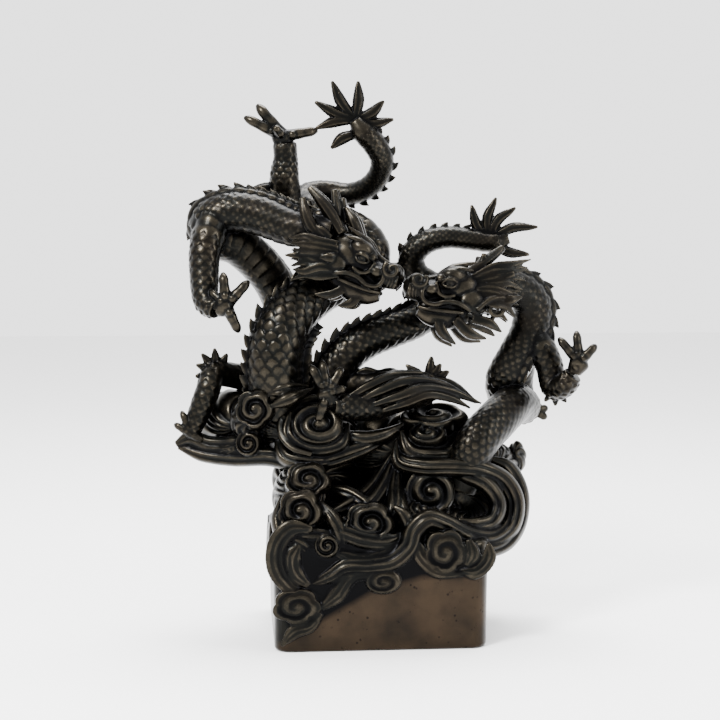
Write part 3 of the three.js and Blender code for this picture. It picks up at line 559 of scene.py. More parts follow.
rightLook = {
    "pitch": -4, "yaw": 194, "tilt": 8, "seed": 23,
    "mane": (
        ((-5, 2.6, 2.2), (-9.4, 3.8, 4.6), (-13, 4.2, 5.8), (-17.4, 4, 6.8)),
        ((-6, 3.6, -2), (-9, 4.4, -3), (-12, 4.4, -4), (-14.4, 4, -5.6)),
    ),
    "horns": [
        ((-4.4, 1.8, 3.6, 1.1), (-7.6, 2, 6, 1.25), (-10.9, 2, 8.9, 0.95), (-11.6, 2, 9.6, 0.75)),
        ((-7, 2.2, 6, 0.8), (-7.2, 2.4, 7, 0.75), (-7.2, 2.6, 7.8, 0.55)),
        ((-2, 1.2, 3.6, 0.9), (-1, 1.3, 4.4, 0.85), (-0.2, 1.4, 4.8, 0.65)),
    ],
    "locks": [
        ((-9, 3.8, 2, 0.8), (-11.4, 4.3, 2.8, 1.0), (-13.6, 4.6, 3.6, 0.7)),
        ((-10.6, 4.4, -2.4, 0.8), (-13, 4.7, -2.2, 1.2), (-15.5, 4.6, -1.4, 0.3)),
        ((2.4, 1.2, -6.8, 1.3), (1.4, 1.6, -9.8, 1.5), (-1.8, 1.6, -12.4, 0.3)),
        ((-1.4, 2, -7, 1.4), (-4.4, 2.4, -9.8, 1.5), (-8.4, 2.4, -10.8, 0.3)),
        ((-5, 2.6, -6.6, 1.3), (-8.6, 3, -7.4, 1.4), (-11.6, 3, -9.2, 0.3)),
    ],
    "curls": [
        spiralRows((-9.7, 4.2, -4.4), 2.4, 1.5, 0.62, ((1, 0.05, 0), (0, 0, 1)), 0.6, 0.12, 20),
        ((-5.6, 4.2, -4.9, 0.5), (-8.6, 4.8, -2.4, 0.6), (-11.5, 4.8, -1.8, 0.45)),
    ],
}

# Body rows: x, y, z, half-width, roll of the back
leftFrontBody = [
    (-9.2, -6, 67.6, 3.6, 70),
    (-17.8, -3, 68.2, 4.1, 75),
    (-26.6, -0.5, 71.2, 4.3, 80),
    (-32.6, 0.5, 71.6, 4.3, 85),
    (-36.4, 1.6, 69.4, 4.2, 100),
    (-35, 3, 66.2, 4.1, 130),
    (-30, 4.6, 64.2, 4.2, 150),
    (-22.9, 7.2, 57.1, 4.2, 170),
    (-19.8, 9.8, 49.5, 4.2, 180),
    (-18.6, 11, 40, 4.2, 180),
    (-18.4, 11, 28.5, 4.2, 180),
]
leftRearBody = [
    (-20.9, -4, 25, 5.2, -80),
    (-21.6, -5, 31, 5.5, -80),
    (-22.4, -6, 37.4, 5.8, -75),
    (-21.8, -6, 43.6, 5.8, -70),
    (-18.8, -4, 49.4, 5.4, -65),
    (-13.6, -1, 54, 5, -60),
    (-7.4, 2, 57, 4.4, -60),
    (-2.3, 4, 59.6, 3.9, -70),
    (-0.9, 4.5, 63, 3.5, -85),
    (-2.9, 5.2, 66.8, 3.3, -95),
    (-6.9, 7, 69.4, 3.1, -100),
    (-11.7, 10, 71.4, 3, -100),
    (-15.6, 13.4, 73.4, 2.7, -90),
    (-15.4, 16.4, 75.2, 2.5, -60),
    (-11.4, 17.4, 76, 2.4, 60),
    (-6.1, 16, 75.6, 2.3, 80),
    (-2.2, 14, 77, 2.3, 90),
    (0.2, 12, 79.8, 2.3, 90),
    (0.8, 10.5, 83, 2.4, 90),
    (-0.6, 9.4, 86, 2.5, 90),
    (-3.4, 8.4, 89.2, 2.4, 90),
    (-5, 8, 91.6, 1.3, 90),
]
rightFrontBody = [
    (22, -6, 54.6, 3.6, -75),
    (26.4, -3.4, 55, 4, -80),
    (30.4, -1, 54.6, 4.1, -85),
    (33.2, 0.6, 51.6, 4.2, -90),
    (33, 1, 46.4, 4.1, -75),
    (30.2, 0.4, 40.7, 4, -45),
    (27.4, 1.5, 35.4, 4, -60),
    (28.4, 6.5, 31, 3.8, -110),
    (31.2, 5.4, 29.8, 3.8, 60),
    (29.4, -1, 30, 4.1, 20),
    (25.7, -7, 26.6, 4.3, 0),
    (21.4, -10.4, 21.6, 4.3, 0),
    (17.6, -8, 12, 4, 0),
]
rightRearBody = [
    (-10.8, 1, 20, 4.2, -80),
    (-10.8, 0, 30.5, 4.3, -75),
    (-9.7, 0, 35.7, 4.3, -75),
    (-7.1, 0, 40.5, 4.1, -70),
    (-2.6, 0, 43.8, 3.9, -70),
    (3, 0, 46, 3.7, -70),
    (8.3, 1, 48, 3.5, -75),
    (12.6, 3, 51.2, 3.2, -80),
    (12, 5, 55.2, 3, -90),
    (8.4, 4.8, 58, 2.8, -95),
    (7.3, 4, 61.6, 2.7, -90),
    (10, 3, 64.8, 2.5, -80),
    (14.8, 2, 66.1, 2.3, -80),
    (20.2, 1.5, 65.6, 2.2, -80),
    (24.8, 1, 65, 2, -80),
    (28.3, 1, 66, 1.2, -80),
]


def limb(rows, finish, around, span):
    root = egg(rows[0][:3], (rows[0][3],) * 3)
    hidden = scales(rows, around, finish, span, 7, hide["limbReach"], hide["limbLift"])
    return [root, sweep(rows, roundRing(30), 50), hidden]


def dragonForms(dragon, finish):
    made = head(dragon["headAt"], dragon["look"])
    pitch = dragon["spinePitch"]
    for body in dragon["bodies"]:
        made.append(bodyForm(body["rows"], body["steps"]))
        made.append(scales(body["rows"], body["scalesRound"], finish, body["scaled"], body["seed"]))
        made.append(spines(body["rows"], pitch, finish, body["finned"], body["finHeight"], body["seed"] + 2))
        if "rolled" in body:
            made.append(dorsalRoll(body["rows"], pitch, body["rolled"]))
        if "frontFins" in body:
            made.append(spines(body["rows"], pitch * 1.2, finish, body["frontFins"], 0.8, 8, 165))
    for rows, around, span in dragon["limbs"]:
        made += limb(rows, finish, around, span)
    for form in dragon["paws"]:
        made += paw(*form)
    for form in dragon["fans"]:
        made += fan(*form)
    return made + [strand(*form) for form in dragon["plumes"]] + [
        strand(rows, 0.5, 5, 0.3, 26) for rows in dragon["locks"]]


leftDragon = {
    "voxel": 0.00055, "triangles": 190000, "spinePitch": 0.0068,
    "headAt": (-3.3, -8, 60.9), "look": leftLook,
    "bodies": (
        {"rows": leftFrontBody, "steps": 420, "scalesRound": 16, "scaled": (0.05, 0.97), "seed": 3,
         "finned": (0.06, 0.97), "finHeight": 0.9, "rolled": (0.02, 0.52)},
        {"rows": leftRearBody, "steps": 620, "scalesRound": 13, "scaled": (0, 0.96), "seed": 4,
         "finned": (0.04, 0.97), "finHeight": 0.95, "frontFins": (0.08, 0.26)},
    ),
    "limbs": (  # rows, scales round, share of the length that is scaled
        (((-35.9, -0.5, 69, 3.6), (-37.4, -2.4, 63.4, 3.2), (-37.6, -4, 57, 2.9), (-37, -6, 52, 2.5),
          (-34.8, -8, 50.6, 2.2)), 9, (0.1, 0.92)),
        (((-19.5, 10, 35.5, 2.6), (-26.4, 5, 35.3, 2.6), (-32.2, 1, 36.4, 2.5), (-35.3, -1, 36.6, 2.5),
          (-37.1, -2.5, 32.3, 2.4), (-39.2, -3, 27, 2.1), (-40.7, -3.5, 23.4, 1.6)), 8, (0.3, 0.95)),
        (((-15.4, 13, 73.2, 2.8), (-19, 10.4, 73.2, 3), (-20.2, 9, 78, 3), (-20, 8.5, 83.4, 2.4),
          (-20.2, 8.4, 86.6, 2.5)), 9, (0.2, 0.92)),
    ),
    "paws": (  # palm, wrist, fingers as across, up, depth and fatness, size
        ((-32.9, -8.6, 51.4), (-35, -7.8, 50.6), ((-0.6, 6.6), (4.6, 4.9), (2.6, -5.4), (-3.2, 3, 1, 0.8))),
        ((-40.6, -3.6, 23.6), (-39.8, -3.4, 25.2),
         ((-1.8, 4.6, 0, 0.9), (-3.2, 2, 0, 0.9), (2.6, -1.4)), 0.8),
        ((-20.6, 8.2, 88), (-20.2, 8.4, 85.6),
         ((7, 1.2), (-5.2, 6.4, 0, 1.1), (-7.8, 3.9, -1), (-1.7, 2, -2.6, 0.8))),
    ),
    "fans": (  # root, tips with their bows, width
        ((-34.8, -1, 37), ((-39.4, -1.5, 38.6), (-38.2, -1.5, 41), (-35.4, -1.5, 42.2), (-32.6, -1, 41),
                           (-39.6, -1.6, 36)), 1.1),
        ((-5, 8, 91.6), ((-13.7, 7.6, 95.5, 0.04), (-10, 8, 100, 0.06), (-4.3, 8, 100, -0.05),
                         (1.3, 8.4, 95.7, -0.1), (3.4, 8.6, 91.7, -0.1), (-13.4, 7.6, 89.8, -0.06)), 1.35),
        ((-4.6, 8.4, 88.6), ((-10.2, 7.8, 85.4, -0.1),), 1.4),
    ),
    "plumes": ((((-18, 10, 75, 1.8), (-24, 9, 76.6, 1.6), (-31, 7, 74.6, 0.3)),),), "locks": (),
}
rightDragon = {
    "voxel": 0.00055, "triangles": 190000, "spinePitch": 0.0066,
    "headAt": (15.1, -9, 55.1), "look": rightLook,
    "bodies": (
        {"rows": rightFrontBody, "steps": 420, "scalesRound": 15, "scaled": (0.03, 0.94), "seed": 13,
         "finned": (0.05, 0.5), "finHeight": 0.9, "rolled": (0.02, 0.42)},
        {"rows": rightRearBody, "steps": 420, "scalesRound": 13, "scaled": (0.06, 0.97), "seed": 14,
         "finned": (0.12, 0.96), "finHeight": 0.95},
    ),
    "limbs": (
        (((34.4, 0, 44, 3), (37, -1.5, 38.6, 2.8), (38.2, -3, 33.8, 2.6), (40.4, -5, 34.2, 2.4),
          (42.2, -6, 36.4, 2.1)), 9, (0.1, 0.9)),
        (((33, 4, 44, 3), (31, 7, 38.5, 2.8), (31, 9, 33, 2.4), (33, 9, 29.6, 1.8)), 8, (0.1, 0.9)),
        (((-8.4, 0, 34.2, 3.3), (-1.4, -1, 33.8, 3.4), (5.3, -4, 33.9, 3.4), (10.2, -8, 33.2, 3.2),
          (4.6, -9, 31.8, 3.3), (-1.2, -10, 29.9, 3.2), (-6.1, -11, 29.4, 2.8), (-9.6, -12, 29.6, 2)),
         10, (0.06, 0.95)),
    ),
    "paws": (
        ((43.6, -6.5, 39), (42.4, -6, 37), ((-4.2, 5), (-0.6, 6.4), (3.4, 3.6, -1), (-2.4, -3, 1, 0.8)), 0.9),
        ((34, 8.6, 28.6), (32.8, 9, 29.8), ((2.4, 0.6), (2.2, -1.4)), 0.8),
        ((-11, -12.4, 32.4), (-10, -12, 30),
         ((-3.4, 5.6), (-1, 6.6), (3, 5.2), (3.8, 1, 0, 0.9), (-2, -6.4)), 0.95),
    ),
    "fans": (
        ((38.4, -2.6, 33.4), ((36, -2.2, 30.6), (38.4, -2.6, 29.6), (40.8, -3, 30.4)), 0.9),
        ((11, -6.6, 34.6), ((11.6, -6.4, 40.4), (13.6, -6.6, 38.8), (15.4, -6.8, 37.2), (6, -5.6, 38.6)),
         1.2),
        ((24, 1, 65.4), ((20.2, 1, 73.2, 0.1), (25.6, 0.8, 74.8, 0.12), (29.8, 0.6, 72.6, 0.14),
                         (34.6, 0.6, 68.4, 0.12), (32.8, 1, 62.4, -0.1)), 1.25),
    ),
    "plumes": ((((9, -7.6, 34, 2.6), (15.4, -7.4, 33.6, 2), (21.4, -7.4, 30.4, 0.4)), 0.6, 9, 0.22, 26, 40),),
    "locks": (  # hair that sweeps over the bent hind leg
        ((-4.4, -12.8, 30.6, 0.5), (0.6, -13.4, 33, 1.2), (6.4, -12, 35, 1.4), (13, -9.8, 34.4, 1.3),
         (19, -8, 32.2, 0.3)),
        ((-2, -13.2, 29.6, 0.5), (4, -13.8, 31.6, 1.2), (9.8, -12, 33.4, 1.4), (16, -9.4, 32.6, 1.2),
         (22.4, -7.6, 30.2, 0.3)),
        ((-6.4, -12.4, 31.6, 0.5), (-2, -12.4, 34, 1.2), (3, -10.8, 36, 1.3), (8.6, -8.8, 36.4, 1.1),
         (13, -7.4, 36, 0.3)),
        ((1, -13.4, 28.6, 0.5), (6, -13.4, 30.2, 1), (11, -12, 32, 1.2), (16.4, -9.8, 31, 0.9),
         (20, -8.4, 29.2, 0.3)),
        ((-5.4, -2, 36, 0.6), (-2.6, -2.6, 37.2, 1.1), (0, -2.6, 36.4, 1.2), (2.6, -2.8, 37, 1.1),
         (5.4, -3.4, 36.2, 1), (8, -4.4, 36.8, 0.4)),
    ),
}


# Cloud

def scrollPlace(at, yaw, rise):
    turn = Euler((math.radians(-rise), 0, math.radians(yaw)), "XYZ").to_matrix().to_4x4()
    return Matrix.Translation(at) @ turn


def scroll(at, size, deep=4.0, start=200, hand=1, yaw=0, rise=0, lobed=False):
    # A domed disc with a ridge that winds in to a knob; the outer coil of a lobed one swells into petals
    coils, lobes = cloudBank["coils"], cloudBank["lobes"]
    wide, tall = np.array(size) * (1.12 if lobed else 1.04)
    angle = np.linspace(0, 2 * math.pi, 180, endpoint=False)
    petal = np.abs(np.cos(lobes * angle / 2 + 0.5)) ** 0.8
    rings = []
    for r in np.linspace(0.02, 1, 48):
        wind = hand * (angle - math.radians(start)) / (2 * math.pi)
        wave = 0.5 + 0.5 * np.cos(2 * math.pi * ((1 - r) * coils - wind))
        knob = np.clip(1 - r / 0.24, 0, 1)
        rim = np.clip((r - 0.9) / 0.1, 0, 1)
        height = 0.6 + 0.46 * wave ** 0.7 * (1 - knob) + 0.7 * knob - 0.3 * rim ** 2
        reach = r * (1 - (0.17 * (1 - petal) * r ** 2 if lobed else 0))
        rings.append(np.stack([np.cos(angle) * reach * wide, -height * deep / 2 + 0 * angle,
                               np.sin(angle) * reach * tall], 1))
    edge = rings[-1] * np.array([1, 0, 1])
    rings += [edge * share + np.array([0, y * deep / 2, 0])
              for share, y in ((1, 0.1), (0.98, 1), (0.5, 1), (0.02, 1))]
    return placed(grid(np.array(rings)), scrollPlace(at, yaw, rise))


def tails(at, size, deep=4.0, start=200, hand=1, yaw=0, rise=0):
    # Round a plain scroll, strands follow the rim and run off into the cloud
    wide, tall = size
    made, share = [], np.linspace(0, 1, 8)
    for reach, width in ((1.12, 1.0), (1.5, 1.25)):
        angle = math.radians(start + 60) + hand * share * math.radians(230)
        out = reach * (1 + 0.45 * share ** 3)
        rows = [(math.cos(a) * o * wide, (0.08 + 0.5 * s) * deep, math.sin(a) * o * tall,
                 width * (0.5 + 1.1 * s * (1.2 - s))) for a, o, s in zip(angle, out, share)]
        made.append(placed(strand(rows, 0.9, 3, 0.16, 60, 28), scrollPlace(at, yaw, rise)))
    return made


def billow(at, radii, ribs, twist):
    # A swell of cloud, ribbed by grooves that wind out from the side that faces the viewer
    down = np.linspace(0.02, math.pi - 0.02, 90)[:, None]
    angle = np.linspace(0, 2 * math.pi, 420, endpoint=False)[None]
    swing = angle + twist * np.sin(down) + 0.25 * np.sin(3 * angle + 4 * down)
    cut = cloudBank["groove"] / min(radii) * np.clip(np.sin(down) * 2.2, 0, 1) * (0.7 + 0.3 * np.cos(down))
    reach = 1 - cut * (1 - np.abs(np.sin(ribs / 2 * swing)) ** 0.7)
    ball = [np.sin(down) * np.cos(angle) * reach, -np.cos(down) * reach, np.sin(down) * np.sin(angle) * reach]
    return grid(np.stack(ball, -1) * np.array(radii) + np.array(at))


def ribbon(rows, flutes, thick=0.9):
    # A fluted band whose ends run thin
    ends = (0, len(rows) - 1)
    rows = [(*row[:3], row[3] * (0.45 if k in ends else 1.06), *row[4:]) for k, row in enumerate(rows)]
    return sweep(rows, ribbonRing(flutes, thick), 14 * len(rows))


cloudMasses = [  # middle and half-sizes
    ((1, 1, 5), (22.5, 18, 8)),
    ((-12, 5, 14), (11, 10, 9)),
    ((-16.5, -6, 10), (6.5, 10.5, 7.5)),
    ((-17, 1, 25), (12.5, 13, 7)),
    ((-28, -1, 20.5), (9, 7, 3.4)),
    ((-30.5, 4, 26), (8.5, 8, 7.5)),
    ((-27.4, -5.4, 26.4), (4.6, 4.6, 5)),
    ((4, 5, 20), (14, 10, 10)),
    ((11.6, -1.6, 22), (6, 6, 5.4)),
    ((16, 2, 10), (14, 12, 11.5)),
    ((25, 4, 14), (6, 9, 8)),
    ((30, 5, 18.6), (2.2, 3, 3.6)),
    ((29.8, 4, 13), (2, 3, 1.8)),
]
bankScrolls = [  # middle, half-sizes across and up, and how it turns
    ((-26.4, -9.5, 29), (3.9, 3.9), {"yaw": -15, "lobed": True}),
    ((-27.7, -7.5, 21.6), (2.7, 2.7), {"yaw": -15}),
    ((-13, -12, 25.1), (5.2, 4.6), {"rise": 30, "hand": -1}),
    ((-15.2, -15.5, 13.4), (4.6, 3.8), {"rise": 15, "lobed": True}),
    ((-16.7, -17.5, 6.9), (4.5, 4.5), {"yaw": -10, "lobed": True}),
    ((-1.9, -18.6, 4.4), (5, 4.2), {"deep": 5, "lobed": True}),
    ((-11, -19.3, -0.6), (2.6, 2.5), {}),
    ((11.3, -11.8, 11), (5.2, 5.2), {}),
    ((12.1, -5, 26.8), (6.8, 4.4), {"rise": 55, "lobed": True}),
    ((10.8, -9, 22.9), (4, 3.2), {"rise": 45}),
    ((-18.5, 2, 12), (4.4, 4.2), {"yaw": -85}),
    ((28.5, 6, 7), (4.8, 4.6), {"yaw": 80}),
    ((-13, 15.5, 9), (5, 4.8), {"yaw": 190}),
    ((2, 18, 6), (5.4, 5), {"yaw": 180}),
    ((15, 14.5, 8), (4.6, 4.4), {"yaw": 165}),
]
bankRibbons = [  # x, y, z, half-width and, where it isn't 0, roll
    ((4.1, -8, 22.5, 1.2), (4.8, -10.5, 17.8, 1.7), (9.7, -12.8, 16.4, 1.9), (16, -13.4, 16.4, 1.9),
     (22.5, -12, 15.8, 1.9), (27.3, -9.5, 13.4, 2), (29.6, -8.4, 9.2, 2), (28.8, -9.6, 3.9, 2),
     (24.9, -13, 1.1, 2), (19.3, -16.4, 1.8, 2), (14.5, -18.6, 4.3, 2), (11, -19.7, 5.2, 2.1),
     (8, -19.8, 2.8, 2.2), (6.5, -19.8, -0.9, 2.2), (3.2, -19.8, -3.9, 2.1), (-1.5, -19.8, -4.8, 2),
     (-7.1, -19.8, -5.2, 1.9), (-10.4, -19.8, -7.2, 1.6), (-15.4, -19.8, -9.4, 0.8)),
    ((13, -11, 16, 1.2), (19, -12.2, 14.6, 1.7), (23.6, -12, 12.4, 1.8), (26, -11.4, 8.4, 1.8),
     (24.8, -12.6, 5, 1.8), (21, -14.6, 4, 1.6), (17.4, -16, 5, 1)),
    ((23.6, -7, 18.4, 1.2), (28, -6, 16, 1.9), (30.6, -5.4, 10.6, 2), (30.2, -6.4, 4.6, 2),
     (27.4, -10.6, 0.2, 2), (22, -15, -1.4, 1.9), (16.6, -18, -0.6, 1.2)),
    ((4.1, -7, 21, 0.8), (0, -9.5, 13.6, 1.5), (-4.8, -14, 8.9, 1.8), (-10.4, -16.4, 6.4, 1.1)),
    ((4.2, -7.4, 20, 0.8), (1.7, -11, 13.2, 1.5), (-1.4, -15, 8.8, 1.7), (-5, -17.6, 6.4, 1.1)),
    ((4.4, -7.8, 19, 0.8), (3.8, -12, 12.4, 1.5), (3.6, -16, 8, 1.8), (2.6, -18.6, 5, 1.2)),
    ((4.5, -8, 18.4, 0.8), (4.6, -12, 12, 1.2), (5, -16, 8, 1.5), (6.6, -18.8, 5, 1.1)),
    ((-43.8, -2, 21.4, 1.3), (-40.6, -2.6, 22.7, 1.6), (-36.6, -3.6, 21.4, 1.7), (-31.6, -5.6, 21.4, 1.7),
     (-28, -8, 22.6, 1)),
    ((-43.2, -2, 20.8, 1.2), (-38, -3, 19.2, 1.6), (-31, -5.6, 18.4, 1.8), (-24, -9, 18.6, 1.9),
     (-17.6, -11.6, 17.6, 2), (-11, -12, 18, 2), (-4.6, -11, 20, 1.8), (3, -8, 22.8, 1)),
    ((-19, -10, 28.6, 1), (-19.4, -12, 23.4, 1.4), (-14.4, -13.4, 20.2, 1.5), (-8, -12.4, 21.4, 1.4),
     (-6.4, -10, 26, 0.9)),
    ((-24, -10.5, 32, 1.2, -30), (-20.4, -10.4, 33.2, 1.7), (-15, -7, 34, 0.7)),
    ((-23, -11.6, 29.6, 1.2), (-19.4, -11.6, 31, 1.6), (-14, -8, 33.4, 0.7)),
    ((-22.6, -15, 1.4, 1.4), (-17.4, -18.2, 1.6, 2.4), (-8, -18.2, 0.6, 2.4), (1, -18, 0.4, 2.4),
     (10, -17.8, 1, 2.2), (18, -16.4, 1, 1.6)),
    ((-22, 10, 19, 1.2, 180), (-12, 14, 15, 2.2, 180), (2, 14.6, 13.6, 2.2, 180), (14, 14, 13, 2, 180),
     (26, 9, 15, 1.4, 180)),
    # finer flows, laid over the seams between the scrolls
    ((-12, -18.4, 1.8, 1.2), (-8, -19.4, 2.2, 2), (-3, -19.6, 0.8, 2.2), (2, -19.4, 0.4, 2),
     (6, -18.8, 1.8, 1.2)),
    ((-12.5, -17, 9, 1), (-9.5, -19, 5, 1.6), (-8, -19.8, 2, 1.7), (-7.6, -19.6, -1.6, 1.2)),
    ((-20.8, -15, 10, 1.2), (-21.4, -17, 5, 1.7), (-20.2, -18.6, 1.4, 1.8), (-16.4, -19.4, -0.8, 1.6),
     (-13.6, -19.4, -2.6, 1)),
    ((3.4, -18.8, 8, 1), (6, -19.4, 5.6, 1.4), (7, -19.4, 2, 1.5), (5, -19.4, -1.6, 1.2)),
    ((12, -18.6, 7.6, 1), (15.6, -18, 3.6, 1.6), (19, -17.4, 1, 1.6), (22.4, -16, 0.4, 1)),
    ((-22, -9, 22.5, 1.2), (-20, -12, 18.6, 1.7), (-15, -13.4, 17.4, 1.6), (-9, -12.6, 17.8, 1.1)),
    ((-8, -9.5, 24, 1.1), (-3.4, -10.6, 22.6, 1.6), (1.4, -9.4, 23.4, 1.4), (6, -6.6, 26, 0.8)),
    ((5, -8.6, 24.4, 1.1), (7, -10.6, 20, 1.6), (12, -11.6, 18.8, 1.6), (18, -10.4, 19.4, 1)),
    ((-11, -12, 12, 1), (-6.4, -13.4, 10.6, 1.6), (-3, -15.6, 8.6, 1.5), (-1, -17.6, 7.4, 0.9)),
]
# On the block's faces: across in shares of the half-width, up in shares of the height from its top
frontScrolls = [
    ((0.58, -0.09), (4.1, 4.3), {"start": 120, "lobed": True}),
    ((0.01, -0.354), (3.5, 2.4), {"start": 160}),
    ((-0.79, -0.57), (4.6, 3.5), {"start": 100, "lobed": True}),
]
frontRibbons = [
    ((-0.08, -0.25, 0.9), (-0.3, -0.32, 1.5), (-0.42, -0.47, 1.6), (-0.58, -0.6, 0.8)),
    ((-0.56, -0.64, 0.8), (-0.66, -0.75, 1.2), (-0.81, -0.8, 1.4), (-0.93, -0.93, 0.8)),
    ((0.99, -0.02, 1.2), (0.98, -0.16, 1.6), (0.88, -0.27, 1.6), (0.72, -0.28, 1)),
    ((-0.64, 0.14, 1.3), (-0.84, 0.14, 1.9), (-0.96, 0, 2), (-0.97, -0.2, 2), (-0.88, -0.36, 1.7),
     (-0.74, -0.47, 1.2)),
    ((-0.76, 0, 1.4), (-0.82, -0.12, 1.7), (-0.8, -0.26, 1.7), (-0.68, -0.38, 1.3)),
    ((-0.5, -0.34, 0.9), (-0.3, -0.29, 1.5), (-0.06, -0.25, 1.3), (0.1, -0.16, 0.8)),
    ((-0.46, -0.07, 1.2), (-0.22, -0.15, 1.5), (0.02, -0.11, 1.5), (0.18, -0.02, 1.2)),
    ((0.3, 0.05, 1.2), (0.36, -0.12, 1.6), (0.5, -0.26, 1.4), (0.75, -0.3, 0.9)),
    ((0.8, 0.02, 1.4), (0.83, -0.12, 1.6), (0.78, -0.22, 1.2)),
]
plainScrolls = [((0.1, -0.14), (4.8, 4.4), {})]
plainRibbons = [
    ((-0.9, -0.04, 1.3), (-0.5, -0.3, 1.9), (0.2, -0.34, 1.9), (0.9, -0.06, 1.3)),
]


def lowClouds(scrolls, ribbons, side):
    # Relief on one face of the block, laid out on the front and turned to its side
    isEnd = side % 2  # the ends of the block are narrower and stand further out
    reach = block["depth"] / block["width"] if isEnd else 1
    front = -(block["width"] if isEnd else block["depth"]) / 2
    rise = block["reliefRise"] / unit

    def onFront(across, up, proud=0.0):
        x, y, z = across * reach * block["width"] / 2, front, up * block["height"]
        return x / unit, y / unit - proud, z / unit

    made = [scroll(onFront(*place), size, deep=2 * rise, **form) for place, size, form in scrolls]
    made += [ribbon([(*onFront(a, u, rise / 4), w) for a, u, w in rows], cloudBank["flutes"], rise / 2)
             for rows in ribbons]
    turn = Matrix.Rotation(side * math.pi / 2, 4, "Z") @ Matrix.Scale(unit, 4)
    return [placed(form, Matrix.Translation((0, 0, block["height"])) @ turn) for form in made]


def blockForm():
    # The block, lofted from its underside to its top with rounded edges and corners
    angle = np.linspace(0, math.pi / 2, 14)
    half = np.array([block["width"], block["depth"]]) / 2
    low = [(block["bevel"] * (1 - math.sin(a)), block["bevel"] * (1 - math.cos(a)))
           for a in np.linspace(0, math.pi / 2, 6)]
    high = [(inset, block["height"] - z) for inset, z in reversed(low)]
    rings = []
    for inset, z in low + high:
        lean = block["draft"] * (1 - z / block["height"])
        corner = block["corner"] - inset
        hx, hy = half - inset - lean * half / half[0] - corner
        ring = []
        for k, (sx, sy) in enumerate(((1, 1), (-1, 1), (-1, -1), (1, -1))):
            a = angle + k * math.pi / 2
            x, y = sx * hx + corner * np.cos(a), sy * hy + corner * np.sin(a)
            ring.append(np.stack([x, y, np.full(len(a), z)], 1))
        rings.append(np.vstack(ring))
    return grid(np.array(rings))


def bankForms():
    drawn = [billow(at, radii, max(6, round(cloudBank["ribsPerReach"] * max(radii))), 1.3 if k % 2 else -1.3)
             for k, (at, radii) in enumerate(cloudMasses)]
    drawn += [scroll(at, size, **form) for at, size, form in bankScrolls]
    for at, size, form in bankScrolls:
        if not form.get("lobed") and (form.get("rise") or abs(form.get("yaw", 0)) > 60):
            drawn += tails(at, size, **form)
    for rows in bankRibbons:
        isNarrow = max(row[3] for row in rows) < cloudBank["narrow"]
        drawn.append(ribbon(rows, cloudBank["flutes"] - isNarrow))
    made = [(seenToTrue(points), faces) for points, faces in drawn]
    made += [blockForm(), *lowClouds(frontScrolls, frontRibbons, 0)]
    for side in (1, 2, 3):
        made += lowClouds(plainScrolls, plainRibbons, side)
    return made


# Casting: one skin over all the forms, then how proud or sunk every point of it lies

def relax(points, edges, degree, passes):
    # Each pass draws every point towards the mean of its neighbours
    count = len(points)
    for _ in range(passes):
        total = np.stack([np.bincount(edges[:, 0], points[edges[:, 1], k], count)
                          + np.bincount(edges[:, 1], points[edges[:, 0], k], count) for k in range(3)], 1)
        points = points + 0.6 * (total / degree[:, None] - points)
    return points


def measureRelief(mesh):
    # How far each point stands proud of its surroundings, near and wide, and whether it's on a plain face
    count = len(mesh.vertices)
    points, normals = np.empty(count * 3), np.empty(count * 3)
    mesh.vertices.foreach_get("co", points)
    mesh.vertices.foreach_get("normal", normals)
    points, normals = points.reshape(-1, 3), normals.reshape(-1, 3)
    edges = np.empty(len(mesh.edges) * 2, int)
    mesh.edges.foreach_get("vertices", edges)
    edges = edges.reshape(-1, 2)
    degree = np.maximum(np.bincount(edges.ravel(), minlength=count), 1)
    # These lifts drive the finishes: sunk points get deeper patina and painted shade, proud points worn metal
    # and a painted highlight
    for name, passes, full in (("edge", 4, patina["fullEdge"]), ("relief", 60, patina["fullRelief"])):
        lift = np.sum((points - relax(points, edges, degree, passes)) * normals, 1) / full
        mesh.attributes.new(name, "FLOAT", "POINT").data.foreach_set("value", np.clip(lift, -1, 1))
    lean = block["draft"] * (1 - points[:, 2] / block["height"])
    outside = np.maximum(np.abs(points[:, 0]) + lean - block["width"] / 2,
                         np.abs(points[:, 1]) + lean * block["depth"] / block["width"] - block["depth"] / 2)
    plain = np.clip(1 - np.maximum(outside, 0) / 0.0004, 0, 1)
    mesh.attributes.new("plain", "FLOAT", "POINT").data.foreach_set("value", plain)


def cast(name, forms, piece, finish):
    rough = objectOf(name, meshOf(name, forms))
    one = rough.modifiers.new("skin", "REMESH")
    one.mode, one.voxel_size, one.use_smooth_shade = "VOXEL", piece["voxel"] * coarse, True
    ease = rough.modifiers.new("ease", "SMOOTH")
    ease.factor, ease.iterations = 0.35, 2
    skinned = evaluated(rough)
    bpy.data.objects.remove(rough)
    made = objectOf(name, skinned)
    count = sum(len(p.vertices) - 2 for p in skinned.polygons)
    most = piece["triangles"] // coarse
    if count > most:
        fewer = made.modifiers.new("fewer", "DECIMATE")
        fewer.ratio = most / count
        made.data = evaluated(made)
    made.data.name = name
    made.data.materials.clear()
    made.data.materials.append(finish)
    made.data.shade_smooth()
    measureRelief(made.data)
    print(name, "cast:", len(made.data.polygons), "faces from", count)
    return made


# Finishes

